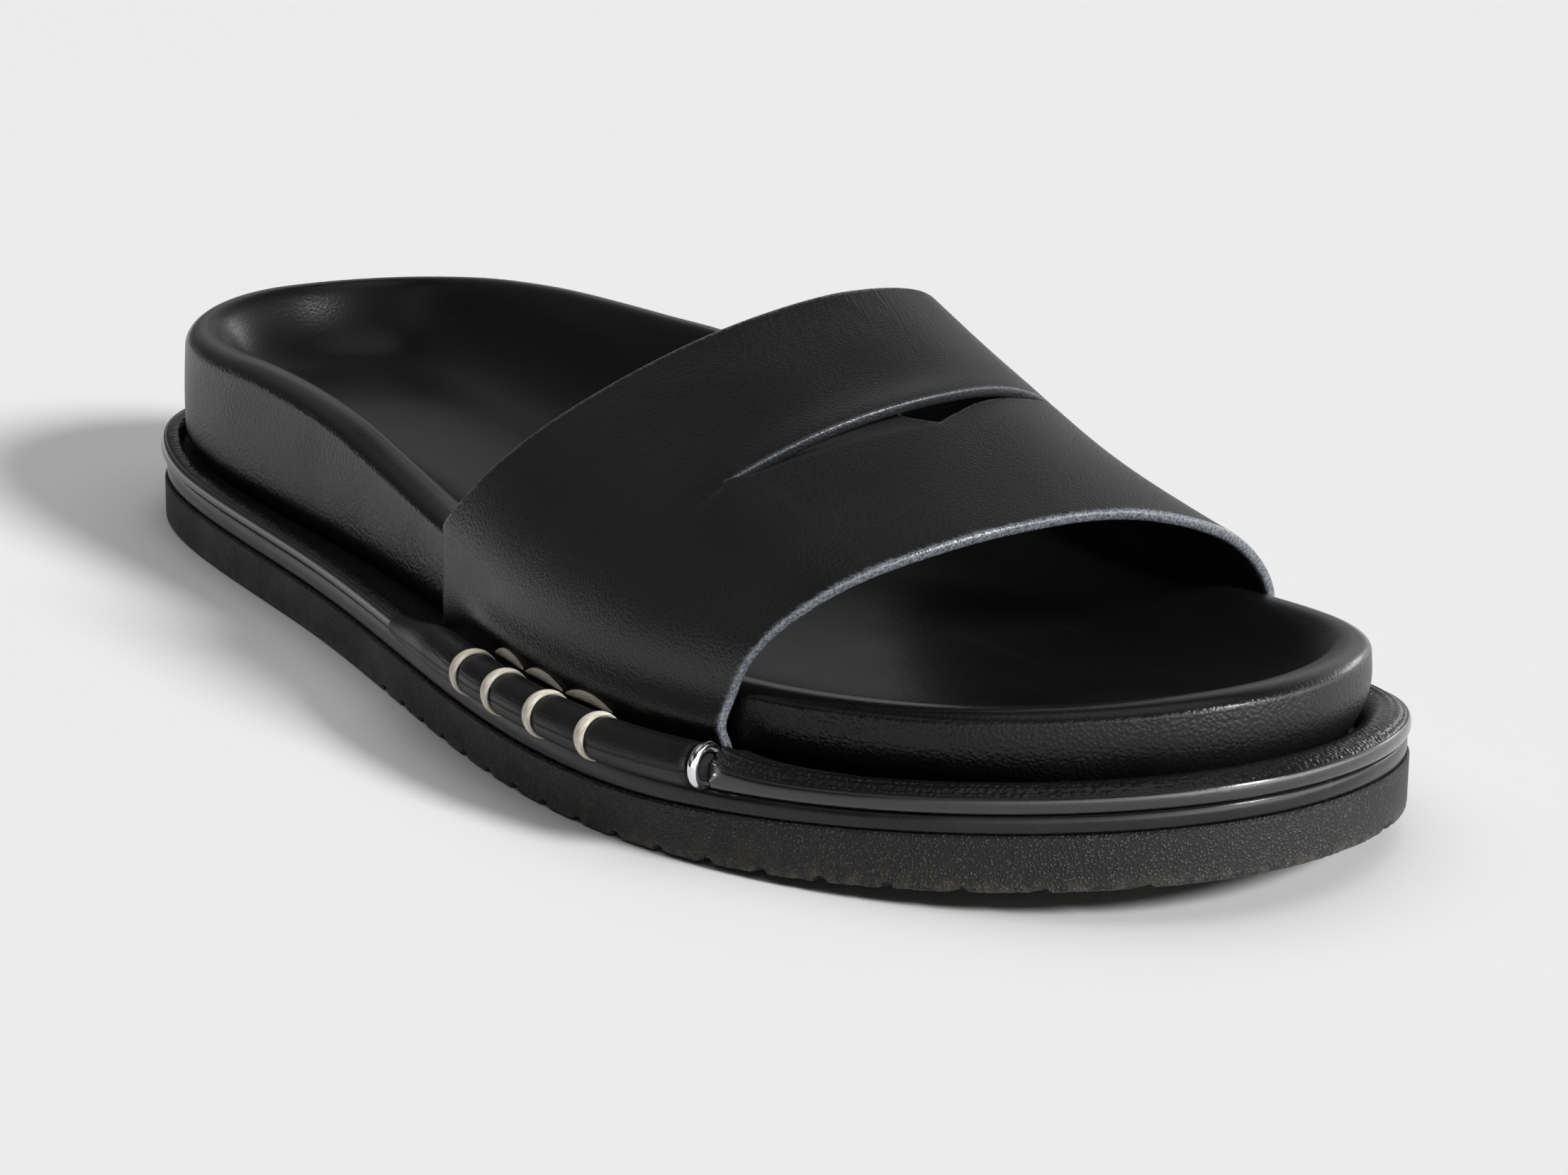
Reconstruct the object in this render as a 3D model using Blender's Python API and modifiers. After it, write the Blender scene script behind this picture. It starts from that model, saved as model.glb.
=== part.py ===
# Right-foot slide: ribbed rubber sole, leather-wrapped footbed, grooved welt and one wide
# leather strap with a lens-shaped slot. The toe points along -Y and the outer (lateral) side
# along -X. Sizes are in millimetres and become metres where the meshes are made.

import math

import bmesh
import bpy
import numpy as np
from mathutils import Matrix, Vector

MM = 0.001
PART_COLLECTION = "loafer_slide"
CUTTER_COLLECTION = "cutters"

# Gap that neighbouring pieces keep.
CLEARANCE = 0.3

# Sole outline seen from above: name, x, y. A closed spline runs through the points.
OUTLINE = (
    ("heel back", 1.3, 140.0),
    ("lateral heel corner", -22.9, 131.0),
    ("lateral heel", -36.0, 105.0),
    ("lateral waist", -43.2, 45.0),
    ("lateral middle", -52.1, -10.0),
    ("lateral ball", -54.7, -62.0),
    ("lateral toe", -34.6, -112.0),
    ("toe tip", 5.9, -140.0),
    ("medial toe", 49.4, -116.0),
    ("medial ball", 49.7, -65.0),
    ("medial middle", 43.7, -5.0),
    ("medial waist", 37.9, 45.0),
    ("medial heel", 36.4, 105.0),
    ("medial heel corner", 25.5, 131.0),
)
OUTLINE_SAMPLES = 1440
STATIONS = 36

# Heights of the sole's layers and the lift of its toe.
TOE_SPRING = 6.6
SPRING_START = -60.0
MIDSOLE_INSET = 0.5
MIDSOLE_TOP = 11.2
# Top of the outsole over its underside: y, height.
OUTSOLE_TOP = ((-140.0, 8.3), (-95.0, 8.2), (-65.0, 7.6), (0.0, 7.5), (140.0, 7.5))

# Rounded lower corner of the outsole: inset from the outline, height.
OUTSOLE_CORNER = ((1.5, 0.0), (0.4, 0.45), (0.0, 1.5))

# Cross grooves of the tread: name, first y, last y. The waist between them is plain.
GROOVE_SPANS = (("forefoot", -133.2, 11.3), ("heel", 54.0, 134.0))
GROOVE_PITCH = 8.5
GROOVE_WIDTH = 2.2
GROOVE_DEPTH = 1.3

# Footbed wall: y, distance in from the outline.
WALL_INSET = (
    (-140.0, 5.9),
    (-118.0, 6.3),
    (-92.0, 8.3),
    (-40.0, 8.5),
    (0.0, 8.4),
    (60.0, 6.0),
    (110.0, 4.2),
    (140.0, 3.9),
)

# Footbed heights over the local underside of the sole: y, lateral rim, medial rim, floor.
FOOTBED = (
    (-140.0, 24.0, 24.0, 20.0),
    (-118.0, 23.9, 25.2, 19.6),
    (-105.0, 23.9, 26.2, 19.4),
    (-85.0, 24.1, 27.4, 19.4),
    (-60.0, 24.9, 28.0, 19.6),
    (-20.0, 26.6, 34.6, 21.2),
    (15.0, 29.2, 43.1, 22.6),
    (32.0, 31.5, 44.5, 23.0),
    (50.0, 34.3, 43.8, 23.2),
    (65.0, 35.5, 42.9, 23.3),
    (82.0, 35.7, 41.6, 23.2),
    (103.0, 34.5, 39.4, 23.0),
    (125.0, 34.2, 36.9, 23.3),
    (140.0, 35.6, 35.6, 23.6),
)
# Outer shoulder of the rim: y, how far it reaches in from the wall, how far it drops.
RIM_SHOULDER = (
    (-140.0, 3.0, 1.8),
    (-75.0, 3.2, 2.0),
    (0.0, 3.6, 2.8),
    (60.0, 3.8, 3.3),
    (140.0, 3.8, 3.3),
)
RIM_STEPS = 4
# Dish inside the rim: distance in from the wall, share of the rim's height that is left.
DISH = ((5.4, 0.92), (7.4, 0.72), (10.0, 0.45), (13.0, 0.2), (16.5, 0.0))
# The inner arch slopes over a wider band: extra width, its middle along y and its half length.
ARCH_EXTRA = 0.5
ARCH_MIDDLE = 10.0
ARCH_HALF = 55.0

# Upper, from its rear edge to its front edge: feet of the strap on both sides, height over the
# sole's underside where each foot starts to lean in, place of the crown, fullness of each half
# of the arch (2 is an ellipse) and how late each half leans.
UPPER_COLUMNS = ("lateral_y", "medial_y", "lateral_z", "medial_z", "crown_x", "crown_y", "crown_z",
                 "lateral_full", "medial_full", "lateral_lean", "medial_lean")
UPPER_SECTIONS = (
    (0.2, -6.5, 29.0, 33.6, 8.5, -33.7, 66.5, 1.75, 2.66, 1.05, 1.23),
    (-39.2, -45.1, 23.4, 26.2, 5.5, -63.0, 57.0, 2.08, 2.25, 1.27, 1.32),
    (-78.6, -88.9, 21.0, 24.0, 2.1, -94.4, 47.1, 2.41, 1.88, 1.52, 1.40),
)
UPPER_THICKNESS = 1.8
UPPER_ROWS = 16
UPPER_FOOT_STEPS = 3
UPPER_ARCH_STEPS = 40

# Slot across the strap: share of the way to the front edge and arch angle of both ends.
SLOT_LATERAL = (0.54, 49.0)
SLOT_MEDIAL = (0.50, 121.0)
SLOT_WIDTH = 4.2
SLOT_STEPS = 28
# Small V in the slot's front lip: place along the slot, half length (shares) and depth.
NOTCH_PLACE = 0.55
NOTCH_HALF = 0.08
NOTCH_DEPTH = 2.0
CUTTER_LOW = 30.0
CUTTER_HIGH = 90.0

# Welt sections: distance in from the outline, height over the midsole. TO_WALL is cut at the
# footbed wall.
TO_WALL = 99.0
WELT_PROFILES = {
    "welt_rear": (
        (0.3, 0.0), (-0.4, 0.3), (-0.5, 1.0), (-0.2, 1.8), (0.3, 2.1), (1.2, 2.2),
        (2.3, 2.25), (2.8, 2.0), (3.1, 0.8), (TO_WALL, 0.6), (TO_WALL, 0.0),
    ),
    "welt_front": (
        (0.6, 0.0), (0.1, 0.5), (0.0, 1.2), (0.1, 2.0), (0.5, 2.5), (1.3, 2.9),
        (2.2, 3.2), (3.2, 3.4), (4.2, 3.2), (TO_WALL, 2.5), (TO_WALL, 0.0),
    ),
}
WELT_STEPS = 48

# Rolls along the foot of the strap: side, rear end, front end. A ring follows each front end.
ROLLS = (("lateral", 4.3, -81.0), ("medial", -2.4, -90.8))
ROLL_RADIUS = 3.3
# A roll is thinner at its rear end: share of the radius there, length of the change.
ROLL_TAPER = 0.76
ROLL_TAPER_LENGTH = 16.0
ROLL_POINTS = 24
ROLL_BEVEL = 4
RING_RADIUS = 2.7
RING_WIRE = 0.8
RING_SEGMENTS = 24
RING_SIDES = 8

SMOOTH_ANGLE = math.radians(40.0)

# Colour, roughness and metallic value of each material.
MATERIALS = {
    "cell rubber": ((0.016, 0.016, 0.017), 0.9, 0.0),
    "smooth rubber": ((0.014, 0.014, 0.015), 0.5, 0.0),
    "footbed leather": ((0.012, 0.012, 0.013), 0.45, 0.0),
    "strap leather": ((0.011, 0.011, 0.012), 0.4, 0.0),
    "welt leather": ((0.012, 0.012, 0.013), 0.4, 0.0),
    "polished metal": ((0.8, 0.8, 0.82), 0.12, 1.0),
}


def closed_spline(points, samples):
    # Periodic cubic through the points, its knots spaced by the square root of the chords.
    count = len(points)
    after = np.sqrt(np.linalg.norm(np.roll(points, -1, axis=0) - points, axis=1))
    before = np.roll(after, 1)
    ahead = (np.roll(points, -1, axis=0) - points) / after[:, None]
    matrix = np.diag(2.0 * (before + after))
    for i in range(count):
        matrix[i, i - 1] += before[i]
        matrix[i, (i + 1) % count] += after[i]
    bends = np.linalg.solve(matrix, 6.0 * (ahead - np.roll(ahead, 1, axis=0)))
    knots = np.concatenate([[0.0], np.cumsum(after)])
    t = np.linspace(0.0, knots[-1], samples, endpoint=False)
    i = np.clip(np.searchsorted(knots, t, side="right") - 1, 0, count - 1)
    j = (i + 1) % count
    h = after[i][:, None]
    a = (knots[i + 1] - t)[:, None]
    b = (t - knots[i])[:, None]
    curve = (bends[i] * a ** 3 + bends[j] * b ** 3) / (6.0 * h)
    curve += (points[i] / h - bends[i] * h / 6.0) * a
    curve += (points[j] / h - bends[j] * h / 6.0) * b
    return curve


def table_column(table, y, index):
    # Smooth reading of one column of a table whose first column is y.
    rows = np.array(table)
    ys = rows[:, 0]
    values = rows[:, index]
    slopes = np.gradient(values, ys)
    y = np.clip(y, ys[0], ys[-1])
    i = np.clip(np.searchsorted(ys, y, side="right") - 1, 0, len(ys) - 2)
    h = ys[i + 1] - ys[i]
    t = (y - ys[i]) / h
    start = (1.0 + 2.0 * t) * (1.0 - t) ** 2
    end = t * t * (3.0 - 2.0 * t)
    bend = h * t * (1.0 - t) * ((1.0 - t) * slopes[i] - t * slopes[i + 1])
    return start * values[i] + end * values[i + 1] + bend


class Outline:
    # The sole's outline, centred on the frame, with inward normals and arc lengths.
    # It runs from the heel along the lateral side to the toe and back along the medial side.

    def __init__(self):
        points = np.array([row[1:] for row in OUTLINE])
        curve = closed_spline(points, OUTLINE_SAMPLES)
        curve -= (curve.min(axis=0) + curve.max(axis=0)) / 2.0
        curve = np.roll(curve, -int(np.argmax(curve[:, 1])), axis=0)
        along = np.roll(curve, -1, axis=0) - np.roll(curve, 1, axis=0)
        along /= np.linalg.norm(along, axis=1)[:, None]
        steps = np.linalg.norm(np.roll(curve, -1, axis=0) - curve, axis=1)
        self.points = curve
        self.along = along
        self.inward = np.stack([-along[:, 1], along[:, 0]], axis=1)
        self.toe = int(np.argmin(curve[:, 1]))
        self.arc = np.concatenate([[0.0], np.cumsum(steps)])
        self.length = curve[:, 1].max() - curve[:, 1].min()

    def half(self, side, inset):
        # One side of the outline moved inward, sorted from toe to heel.
        moved = self.points + self.inward * np.reshape(inset, (-1, 1))
        if side == "lateral":
            rows = moved[:self.toe + 1]
        else:
            rows = np.vstack([moved[self.toe:], moved[:1]])
        return rows[np.argsort(rows[:, 1])]

    def x_at(self, side, inset, y):
        rows = self.half(side, inset)
        return np.interp(y, rows[:, 1], rows[:, 0])

    def arc_at(self, side, y):
        if side == "lateral":
            order = np.arange(self.toe, -1, -1)
        else:
            order = np.arange(self.toe, len(self.points))
        return np.interp(y, self.points[order, 1], self.arc[order])

    def at_arc(self, s):
        # Point, direction and inward normal at arc length s.
        total = self.arc[-1]
        found = []
        for values in (self.points, self.along, self.inward):
            closed = np.vstack([values, values[:1]])
            found.append([np.interp(s % total, self.arc, closed[:, k]) for k in (0, 1)])
        return [np.stack(pair, axis=-1) for pair in found]


OUTLINE_CURVE = Outline()


def sole_bottom(y):
    # Height of the sole's underside: flat, then a parabola up to the toe tip.
    reach = OUTLINE_CURVE.length / 2.0 + SPRING_START
    share = np.clip((SPRING_START - y) / reach, 0.0, None)
    return TOE_SPRING * share ** 2


def wall_inset():
    return table_column(WALL_INSET, OUTLINE_CURVE.points[:, 1], 1)


def ring(inset, height):
    # Ring of the moved outline: toe tip, lateral side, heel and medial side.
    # height gives z over the sole's underside from side and y.
    lateral = OUTLINE_CURVE.half("lateral", inset)
    medial = OUTLINE_CURVE.half("medial", inset)
    low = lateral[0, 1]
    high = lateral[-1, 1]
    shares = (1.0 - np.cos(np.pi * np.arange(STATIONS + 1) / STATIONS)) / 2.0
    y = low + (high - low) * shares
    left = np.interp(y, lateral[:, 1], lateral[:, 0])
    right = np.interp(y, medial[:, 1], medial[:, 0])
    middle = (left + right) / 2.0
    left[[0, -1]] = middle[[0, -1]]
    outward = np.stack([left, y, sole_bottom(y) + height("lateral", y)], axis=1)
    back = np.stack([right, y, sole_bottom(y) + height("medial", y)], axis=1)
    return np.vstack([outward, back[-2:0:-1]])


def level(z):
    return lambda side, y: np.full_like(y, z)


def strip_cap(offset):
    # Cross strips that close a ring from its lateral to its medial side.
    count = 2 * STATIONS
    faces = []
    for k in range(STATIONS):
        loop = [k, k + 1, (count - k - 1) % count, (count - k) % count]
        loop = list(dict.fromkeys(loop))
        faces.append([offset + i for i in loop])
    return faces


def loft_faces(sections, size, wrap):
    # Quads between neighbouring sections of the same size.
    faces = []
    for row in range(sections - 1):
        for i in range(size if wrap else size - 1):
            j = (i + 1) % size
            a = row * size
            b = a + size
            faces.append([a + i, a + j, b + j, b + i])
    return faces


def material(name):
    found = bpy.data.materials.get(name)
    if found:
        return found
    colour, roughness, metallic = MATERIALS[name]
    made = bpy.data.materials.new(name)
    made.use_nodes = True
    shader = made.node_tree.nodes["Principled BSDF"]
    shader.inputs["Base Color"].default_value = (*colour, 1.0)
    shader.inputs["Roughness"].default_value = roughness
    shader.inputs["Metallic"].default_value = metallic
    return made


def collection(name):
    found = bpy.data.collections.get(name)
    if not found:
        found = bpy.data.collections.new(name)
        bpy.context.scene.collection.children.link(found)
    return found


def mesh_object(name, points, faces, finish=None):
    # Object from points in millimetres, with its faces turned outward.
    mesh = bpy.data.meshes.new(name)
    mesh.from_pydata((np.asarray(points) * MM).tolist(), [], faces)
    work = bmesh.new()
    work.from_mesh(mesh)
    bmesh.ops.recalc_face_normals(work, faces=work.faces)
    work.to_mesh(mesh)
    work.free()
    mesh.shade_smooth()
    mesh.set_sharp_from_angle(angle=SMOOTH_ANGLE)
    made = bpy.data.objects.new(name, mesh)
    if finish:
        mesh.materials.append(material(finish))
        collection(PART_COLLECTION).objects.link(made)
    else:
        made.hide_render = True
        made.display_type = "WIRE"
        collection(CUTTER_COLLECTION).objects.link(made)
    return made


def cut(target, cutter):
    modifier = target.modifiers.new(cutter.name, "BOOLEAN")
    modifier.operation = "DIFFERENCE"
    modifier.solver = "EXACT"
    modifier.object = cutter


def ring_solid(name, rings, finish):
    # Solid through a stack of rings, closed by strips at both ends.
    size = 2 * STATIONS
    faces = loft_faces(len(rings), size, True)
    faces += strip_cap(0)
    faces += strip_cap((len(rings) - 1) * size)
    return mesh_object(name, np.vstack(rings), faces, finish)


def groove_places():
    for _, first, last in GROOVE_SPANS:
        count = round((last - first) / GROOVE_PITCH)
        yield from np.linspace(first, last, count + 1)


def outsole_top(extra):
    return lambda side, y: table_column(OUTSOLE_TOP, y, 1) + extra


def make_outsole():
    rings = [ring(inset, level(z)) for inset, z in OUTSOLE_CORNER]
    rings.append(ring(0.0, outsole_top(0.0)))
    outsole = ring_solid("outsole", rings, "cell rubber")
    grooves = bmesh.new()
    width = 3.0 * abs(OUTLINE_CURVE.points[:, 0]).max()
    for y in groove_places():
        rise = sole_bottom(y - 0.5) - sole_bottom(y + 0.5)
        turn = Matrix.Rotation(-math.atan(rise), 4, "X")
        size = Matrix.Diagonal((width, GROOVE_WIDTH, 2.0 * GROOVE_DEPTH, 1.0))
        place = Matrix.Translation((0.0, y, sole_bottom(y)))
        bmesh.ops.create_cube(grooves, size=1.0, matrix=place @ turn @ size)
    grooves.verts.index_update()
    corners = [v.co[:] for v in grooves.verts]
    faces = [[v.index for v in f.verts] for f in grooves.faces]
    grooves.free()
    cut(outsole, mesh_object("tread grooves", corners, faces))


def make_midsole():
    low = ring(MIDSOLE_INSET, outsole_top(CLEARANCE))
    rings = [low, ring(MIDSOLE_INSET, level(MIDSOLE_TOP))]
    ring_solid("midsole", rings, "smooth rubber")


def rim_height(side, y):
    return table_column(FOOTBED, y, 1 if side == "lateral" else 2)


def shoulder_height(share):
    def height(side, y):
        return rim_height(side, y) - table_column(RIM_SHOULDER, y, 2) * share
    return height


def dish_height(share):
    def height(side, y):
        floor = table_column(FOOTBED, y, 3)
        return floor + (rim_height(side, y) - floor) * share
    return height


def arch_width():
    # Widening of the dish along the medial side, beside the arch.
    y = OUTLINE_CURVE.points[:, 1]
    bump = np.clip(1.0 - ((y - ARCH_MIDDLE) / ARCH_HALF) ** 2, 0.0, None) ** 2
    bump[:OUTLINE_CURVE.toe] = 0.0
    return 1.0 + ARCH_EXTRA * bump


def make_footbed():
    wall = wall_inset()
    rings = [ring(wall, level(MIDSOLE_TOP + CLEARANCE))]
    reach = table_column(RIM_SHOULDER, OUTLINE_CURVE.points[:, 1], 1)
    for angle in np.linspace(0.0, math.pi / 2.0, RIM_STEPS + 1):
        inward = reach * (1.0 - math.cos(angle))
        rings.append(ring(wall + inward, shoulder_height(1.0 - math.sin(angle))))
    for inward, share in DISH:
        rings.append(ring(wall + inward * arch_width(), dish_height(share)))
    ring_solid("footbed", rings, "footbed leather")


def upper_values(u):
    # Section values at share u of the way from the rear to the front edge.
    rows = np.array(UPPER_SECTIONS)
    weights = np.stack([(1 - u) * (1 - 2 * u), 4 * u * (1 - u), u * (2 * u - 1)], axis=-1)
    return dict(zip(UPPER_COLUMNS, (weights @ rows).T))


def strap_foot(v, side):
    # Outer face of the strap's foot: x, lower end and the height where it starts to lean in.
    y = v[side + "_y"]
    x = OUTLINE_CURVE.x_at(side, wall_inset() - CLEARANCE - UPPER_THICKNESS, y)
    low = sole_bottom(y) + MIDSOLE_TOP + CLEARANCE
    return x, low, sole_bottom(y) + v[side + "_z"]


def upper_arch(u, angle):
    # Points of the strap's outer face: half a superellipse from each foot to the crown.
    v = upper_values(u)
    lateral = angle <= math.pi / 2.0
    points = []
    for side in ("lateral", "medial"):
        foot_y = v[side + "_y"]
        foot_x, _, foot_z = strap_foot(v, side)
        power = 2.0 / v[side + "_full"]
        rise = np.abs(np.sin(angle)) ** power
        x = v["crown_x"] + (foot_x - v["crown_x"]) * np.abs(np.cos(angle)) ** power
        y = foot_y + (v["crown_y"] - foot_y) * rise ** v[side + "_lean"]
        z = foot_z + (v["crown_z"] - foot_z) * rise
        points.append(np.stack([x, y, z], axis=-1))
    return np.where(lateral[..., None], points[0], points[1])


def upper_row(u):
    # One row of the strap: up the lateral foot, over the arch and down the medial foot.
    angles = np.linspace(0.0, math.pi, UPPER_ARCH_STEPS + 1)
    arch = upper_arch(np.full_like(angles, u), angles)
    v = upper_values(np.array(u))
    feet = {}
    for side in ("lateral", "medial"):
        x, low, high = strap_foot(v, side)
        z = np.linspace(low, high, UPPER_FOOT_STEPS + 1)[:-1]
        feet[side] = np.stack([np.full_like(z, x), np.full_like(z, v[side + "_y"]), z], axis=1)
    return np.vstack([feet["lateral"], arch, feet["medial"][::-1]])


def slot_cutter():
    # Upright prism with a lens for its plan and a small V in its front side.
    share = np.linspace(0.0, 1.0, SLOT_STEPS + 1)
    u = SLOT_LATERAL[0] + (SLOT_MEDIAL[0] - SLOT_LATERAL[0]) * share
    angle = np.radians(SLOT_LATERAL[1] + (SLOT_MEDIAL[1] - SLOT_LATERAL[1]) * share)
    middle = upper_arch(u, angle)[:, :2]
    half = SLOT_WIDTH / 2.0 * np.sin(np.pi * share)
    notch = NOTCH_DEPTH * np.clip(1.0 - np.abs(share - NOTCH_PLACE) / NOTCH_HALF, 0.0, None)
    rear = middle + np.stack([0.0 * half, half], axis=1)
    front = middle - np.stack([0.0 * half, half + notch], axis=1)
    loop = np.vstack([rear, front[-2:0:-1]])
    count = len(loop)
    low = np.column_stack([loop, np.full(count, CUTTER_LOW)])
    high = np.column_stack([loop, np.full(count, CUTTER_HIGH)])
    faces = loft_faces(2, count, True)
    faces.append(list(range(count)))
    faces.append(list(range(count, 2 * count)))
    return mesh_object("strap slot", np.vstack([low, high]), faces)


def make_upper():
    rows = [upper_row(u) for u in np.linspace(0.0, 1.0, UPPER_ROWS + 1)]
    faces = loft_faces(len(rows), len(rows[0]), False)
    upper = mesh_object("upper", np.vstack(rows), faces, "strap leather")
    crown = upper.data.polygons[len(upper.data.polygons) // 2]
    if crown.normal.z < 0.0:
        upper.data.flip_normals()
    shell = upper.modifiers.new("wall", "SOLIDIFY")
    shell.thickness = UPPER_THICKNESS * MM
    shell.offset = -1.0
    shell.use_even_offset = True
    cut(upper, slot_cutter())


def ring_reach():
    # Length of outline that a ring and its clearances take.
    return 2.0 * (RING_WIRE + CLEARANCE)


def welt_ends():
    lateral, medial = ROLLS
    total = OUTLINE_CURVE.arc[-1]
    rear = (OUTLINE_CURVE.arc_at("medial", medial[1]) + CLEARANCE - total,
            OUTLINE_CURVE.arc_at("lateral", lateral[1]) - CLEARANCE)
    front = (OUTLINE_CURVE.arc_at("lateral", lateral[2]) + ring_reach(),
             OUTLINE_CURVE.arc_at("medial", medial[2]) - ring_reach())
    return {"welt_rear": rear, "welt_front": front}


def make_welt(name, start, end):
    # Grooved strip on the midsole's margin, from its edge to the footbed wall.
    s = np.linspace(start, end, WELT_STEPS + 1)
    place, _, inward = OUTLINE_CURVE.at_arc(s)
    room = table_column(WALL_INSET, place[:, 1], 1) - CLEARANCE
    base = sole_bottom(place[:, 1]) + MIDSOLE_TOP + CLEARANCE
    profile = WELT_PROFILES[name]
    sections = []
    for k in range(WELT_STEPS + 1):
        for distance, height in profile:
            x, y = place[k] + inward[k] * min(distance, room[k])
            sections.append((x, y, base[k] + height))
    size = len(profile)
    faces = loft_faces(WELT_STEPS + 1, size, True)
    faces.append(list(range(size)))
    faces.append(list(range(WELT_STEPS * size, (WELT_STEPS + 1) * size)))
    mesh_object(name, sections, faces, "welt leather")


def roll_path(s, radius):
    # Middle line of a round piece that rests on the edge of the midsole.
    place, along, _ = OUTLINE_CURVE.at_arc(s)
    z = sole_bottom(place[..., 1]) + MIDSOLE_TOP + CLEARANCE + radius
    return np.concatenate([place, np.expand_dims(z, -1)], axis=-1), along


def make_roll(side, rear_y, front_y):
    ends = [OUTLINE_CURVE.arc_at(side, y) for y in (rear_y, front_y)]
    s = np.linspace(ends[0], ends[1], ROLL_POINTS)
    t = np.clip(np.abs(s - ends[0]) / ROLL_TAPER_LENGTH, 0.0, 1.0)
    share = ROLL_TAPER + (1.0 - ROLL_TAPER) * t * t * (3.0 - 2.0 * t)
    path, _ = roll_path(s, ROLL_RADIUS * share)
    curve = bpy.data.curves.new("roll_" + side, "CURVE")
    curve.dimensions = "3D"
    curve.bevel_depth = ROLL_RADIUS * MM
    curve.bevel_resolution = ROLL_BEVEL
    curve.use_fill_caps = True
    spline = curve.splines.new("POLY")
    spline.points.add(ROLL_POINTS - 1)
    for point, place, size in zip(spline.points, path * MM, share):
        point.co = (*place, 1.0)
        point.radius = size
    spline.use_smooth = True
    curve.materials.append(material("welt leather"))
    roll = bpy.data.objects.new("roll_" + side, curve)
    collection(PART_COLLECTION).objects.link(roll)


def make_ring(side, front_y):
    # Metal ring standing across the outline, just ahead of the roll's front end.
    ahead = 1.0 if side == "lateral" else -1.0
    s = OUTLINE_CURVE.arc_at(side, front_y) + ahead * ring_reach() / 2.0
    centre, along = roll_path(np.array(s), RING_RADIUS + RING_WIRE)
    place = Vector((*centre,)) * MM
    turn = Vector((along[0], along[1], 0.0)).to_track_quat("Z", "Y")
    bpy.ops.mesh.primitive_torus_add(
        major_segments=RING_SEGMENTS, minor_segments=RING_SIDES, location=place,
        rotation=turn.to_euler(), major_radius=RING_RADIUS * MM, minor_radius=RING_WIRE * MM)
    made = bpy.context.object
    made.name = "ring_" + side
    made.data.materials.append(material("polished metal"))
    made.data.shade_smooth()
    for holder in list(made.users_collection):
        holder.objects.unlink(made)
    collection(PART_COLLECTION).objects.link(made)


def main():
    for old in list(bpy.data.objects):
        bpy.data.objects.remove(old, do_unlink=True)
    make_outsole()
    make_midsole()
    make_footbed()
    make_upper()
    for name, (start, end) in welt_ends().items():
        make_welt(name, start, end)
    for side, rear_y, front_y in ROLLS:
        make_roll(side, rear_y, front_y)
        make_ring(side, front_y)


main()
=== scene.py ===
import math

import bmesh
import bpy
import numpy as np
from mathutils import Matrix, Vector


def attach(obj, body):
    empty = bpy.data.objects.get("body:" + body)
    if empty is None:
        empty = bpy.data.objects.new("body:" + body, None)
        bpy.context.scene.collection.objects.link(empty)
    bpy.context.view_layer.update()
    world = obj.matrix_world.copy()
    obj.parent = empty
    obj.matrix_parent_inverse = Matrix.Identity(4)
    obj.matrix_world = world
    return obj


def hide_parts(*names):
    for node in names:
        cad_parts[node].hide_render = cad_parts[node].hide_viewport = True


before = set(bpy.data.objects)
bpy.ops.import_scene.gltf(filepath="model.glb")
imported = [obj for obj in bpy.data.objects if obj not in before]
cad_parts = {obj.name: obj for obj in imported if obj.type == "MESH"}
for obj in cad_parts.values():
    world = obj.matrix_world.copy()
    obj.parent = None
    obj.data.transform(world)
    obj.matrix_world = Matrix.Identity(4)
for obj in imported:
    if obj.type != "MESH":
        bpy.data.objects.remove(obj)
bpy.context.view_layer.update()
mm = 0.001  # all shapes below are worked out in millimetres
print("frame loaded:", len(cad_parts), "nodes")


# helpers for curves and tables

def softStep(low, high, value):
    # 0 up to low, 1 from high on, an S curve between
    t = np.clip((value - low) / (high - low), 0.0, 1.0)
    return t * t * (3.0 - 2.0 * t)


def between(fadeIn, fadeOut, value):
    # 0 at first, 1 past the first pair of bounds, 0 again past the second
    return softStep(*fadeIn, value) * (1.0 - softStep(*fadeOut, value))


def readTable(rows, where, column=1):
    # smooth reading of one column of a table whose first column is the place
    rows = np.array(rows, float)
    places, values = rows[:, 0], rows[:, column]
    slopes = np.gradient(values, places)
    where = np.clip(where, places[0], places[-1])
    i = np.clip(np.searchsorted(places, where, side="right") - 1, 0, len(places) - 2)
    h = places[i + 1] - places[i]
    t = (where - places[i]) / h
    bend = h * t * (1 - t) * ((1 - t) * slopes[i] - t * slopes[i + 1])
    return (1 + 2 * t) * (1 - t) ** 2 * values[i] + t * t * (3 - 2 * t) * values[i + 1] + bend


def smoothProfile(points, count):
    # open curve through a short list of points, spaced by their chords
    points = np.array(points, float)
    knots = np.concatenate([[0.0], np.cumsum(np.linalg.norm(np.diff(points, axis=0), axis=1))])
    t = np.linspace(0.0, knots[-1], count)
    rows = np.column_stack([knots, points])
    return np.column_stack([readTable(rows, t, k + 1) for k in range(points.shape[1])])


def unit(vectors):
    return vectors / np.maximum(np.linalg.norm(vectors, axis=-1, keepdims=True), 1e-9)


def ripple(where, waves, seed):
    # slow unevenness from -1 to 1: a few sine waves with fixed random phases
    rng = np.random.default_rng(seed)
    phases = rng.uniform(0.0, 2.0 * math.pi, len(waves))
    parts = [np.sin(2.0 * math.pi * where / w + p) for w, p in zip(waves, phases)]
    return sum(parts) / len(parts)


# the sole's outline, heel -> lateral side -> toe -> medial side

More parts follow.
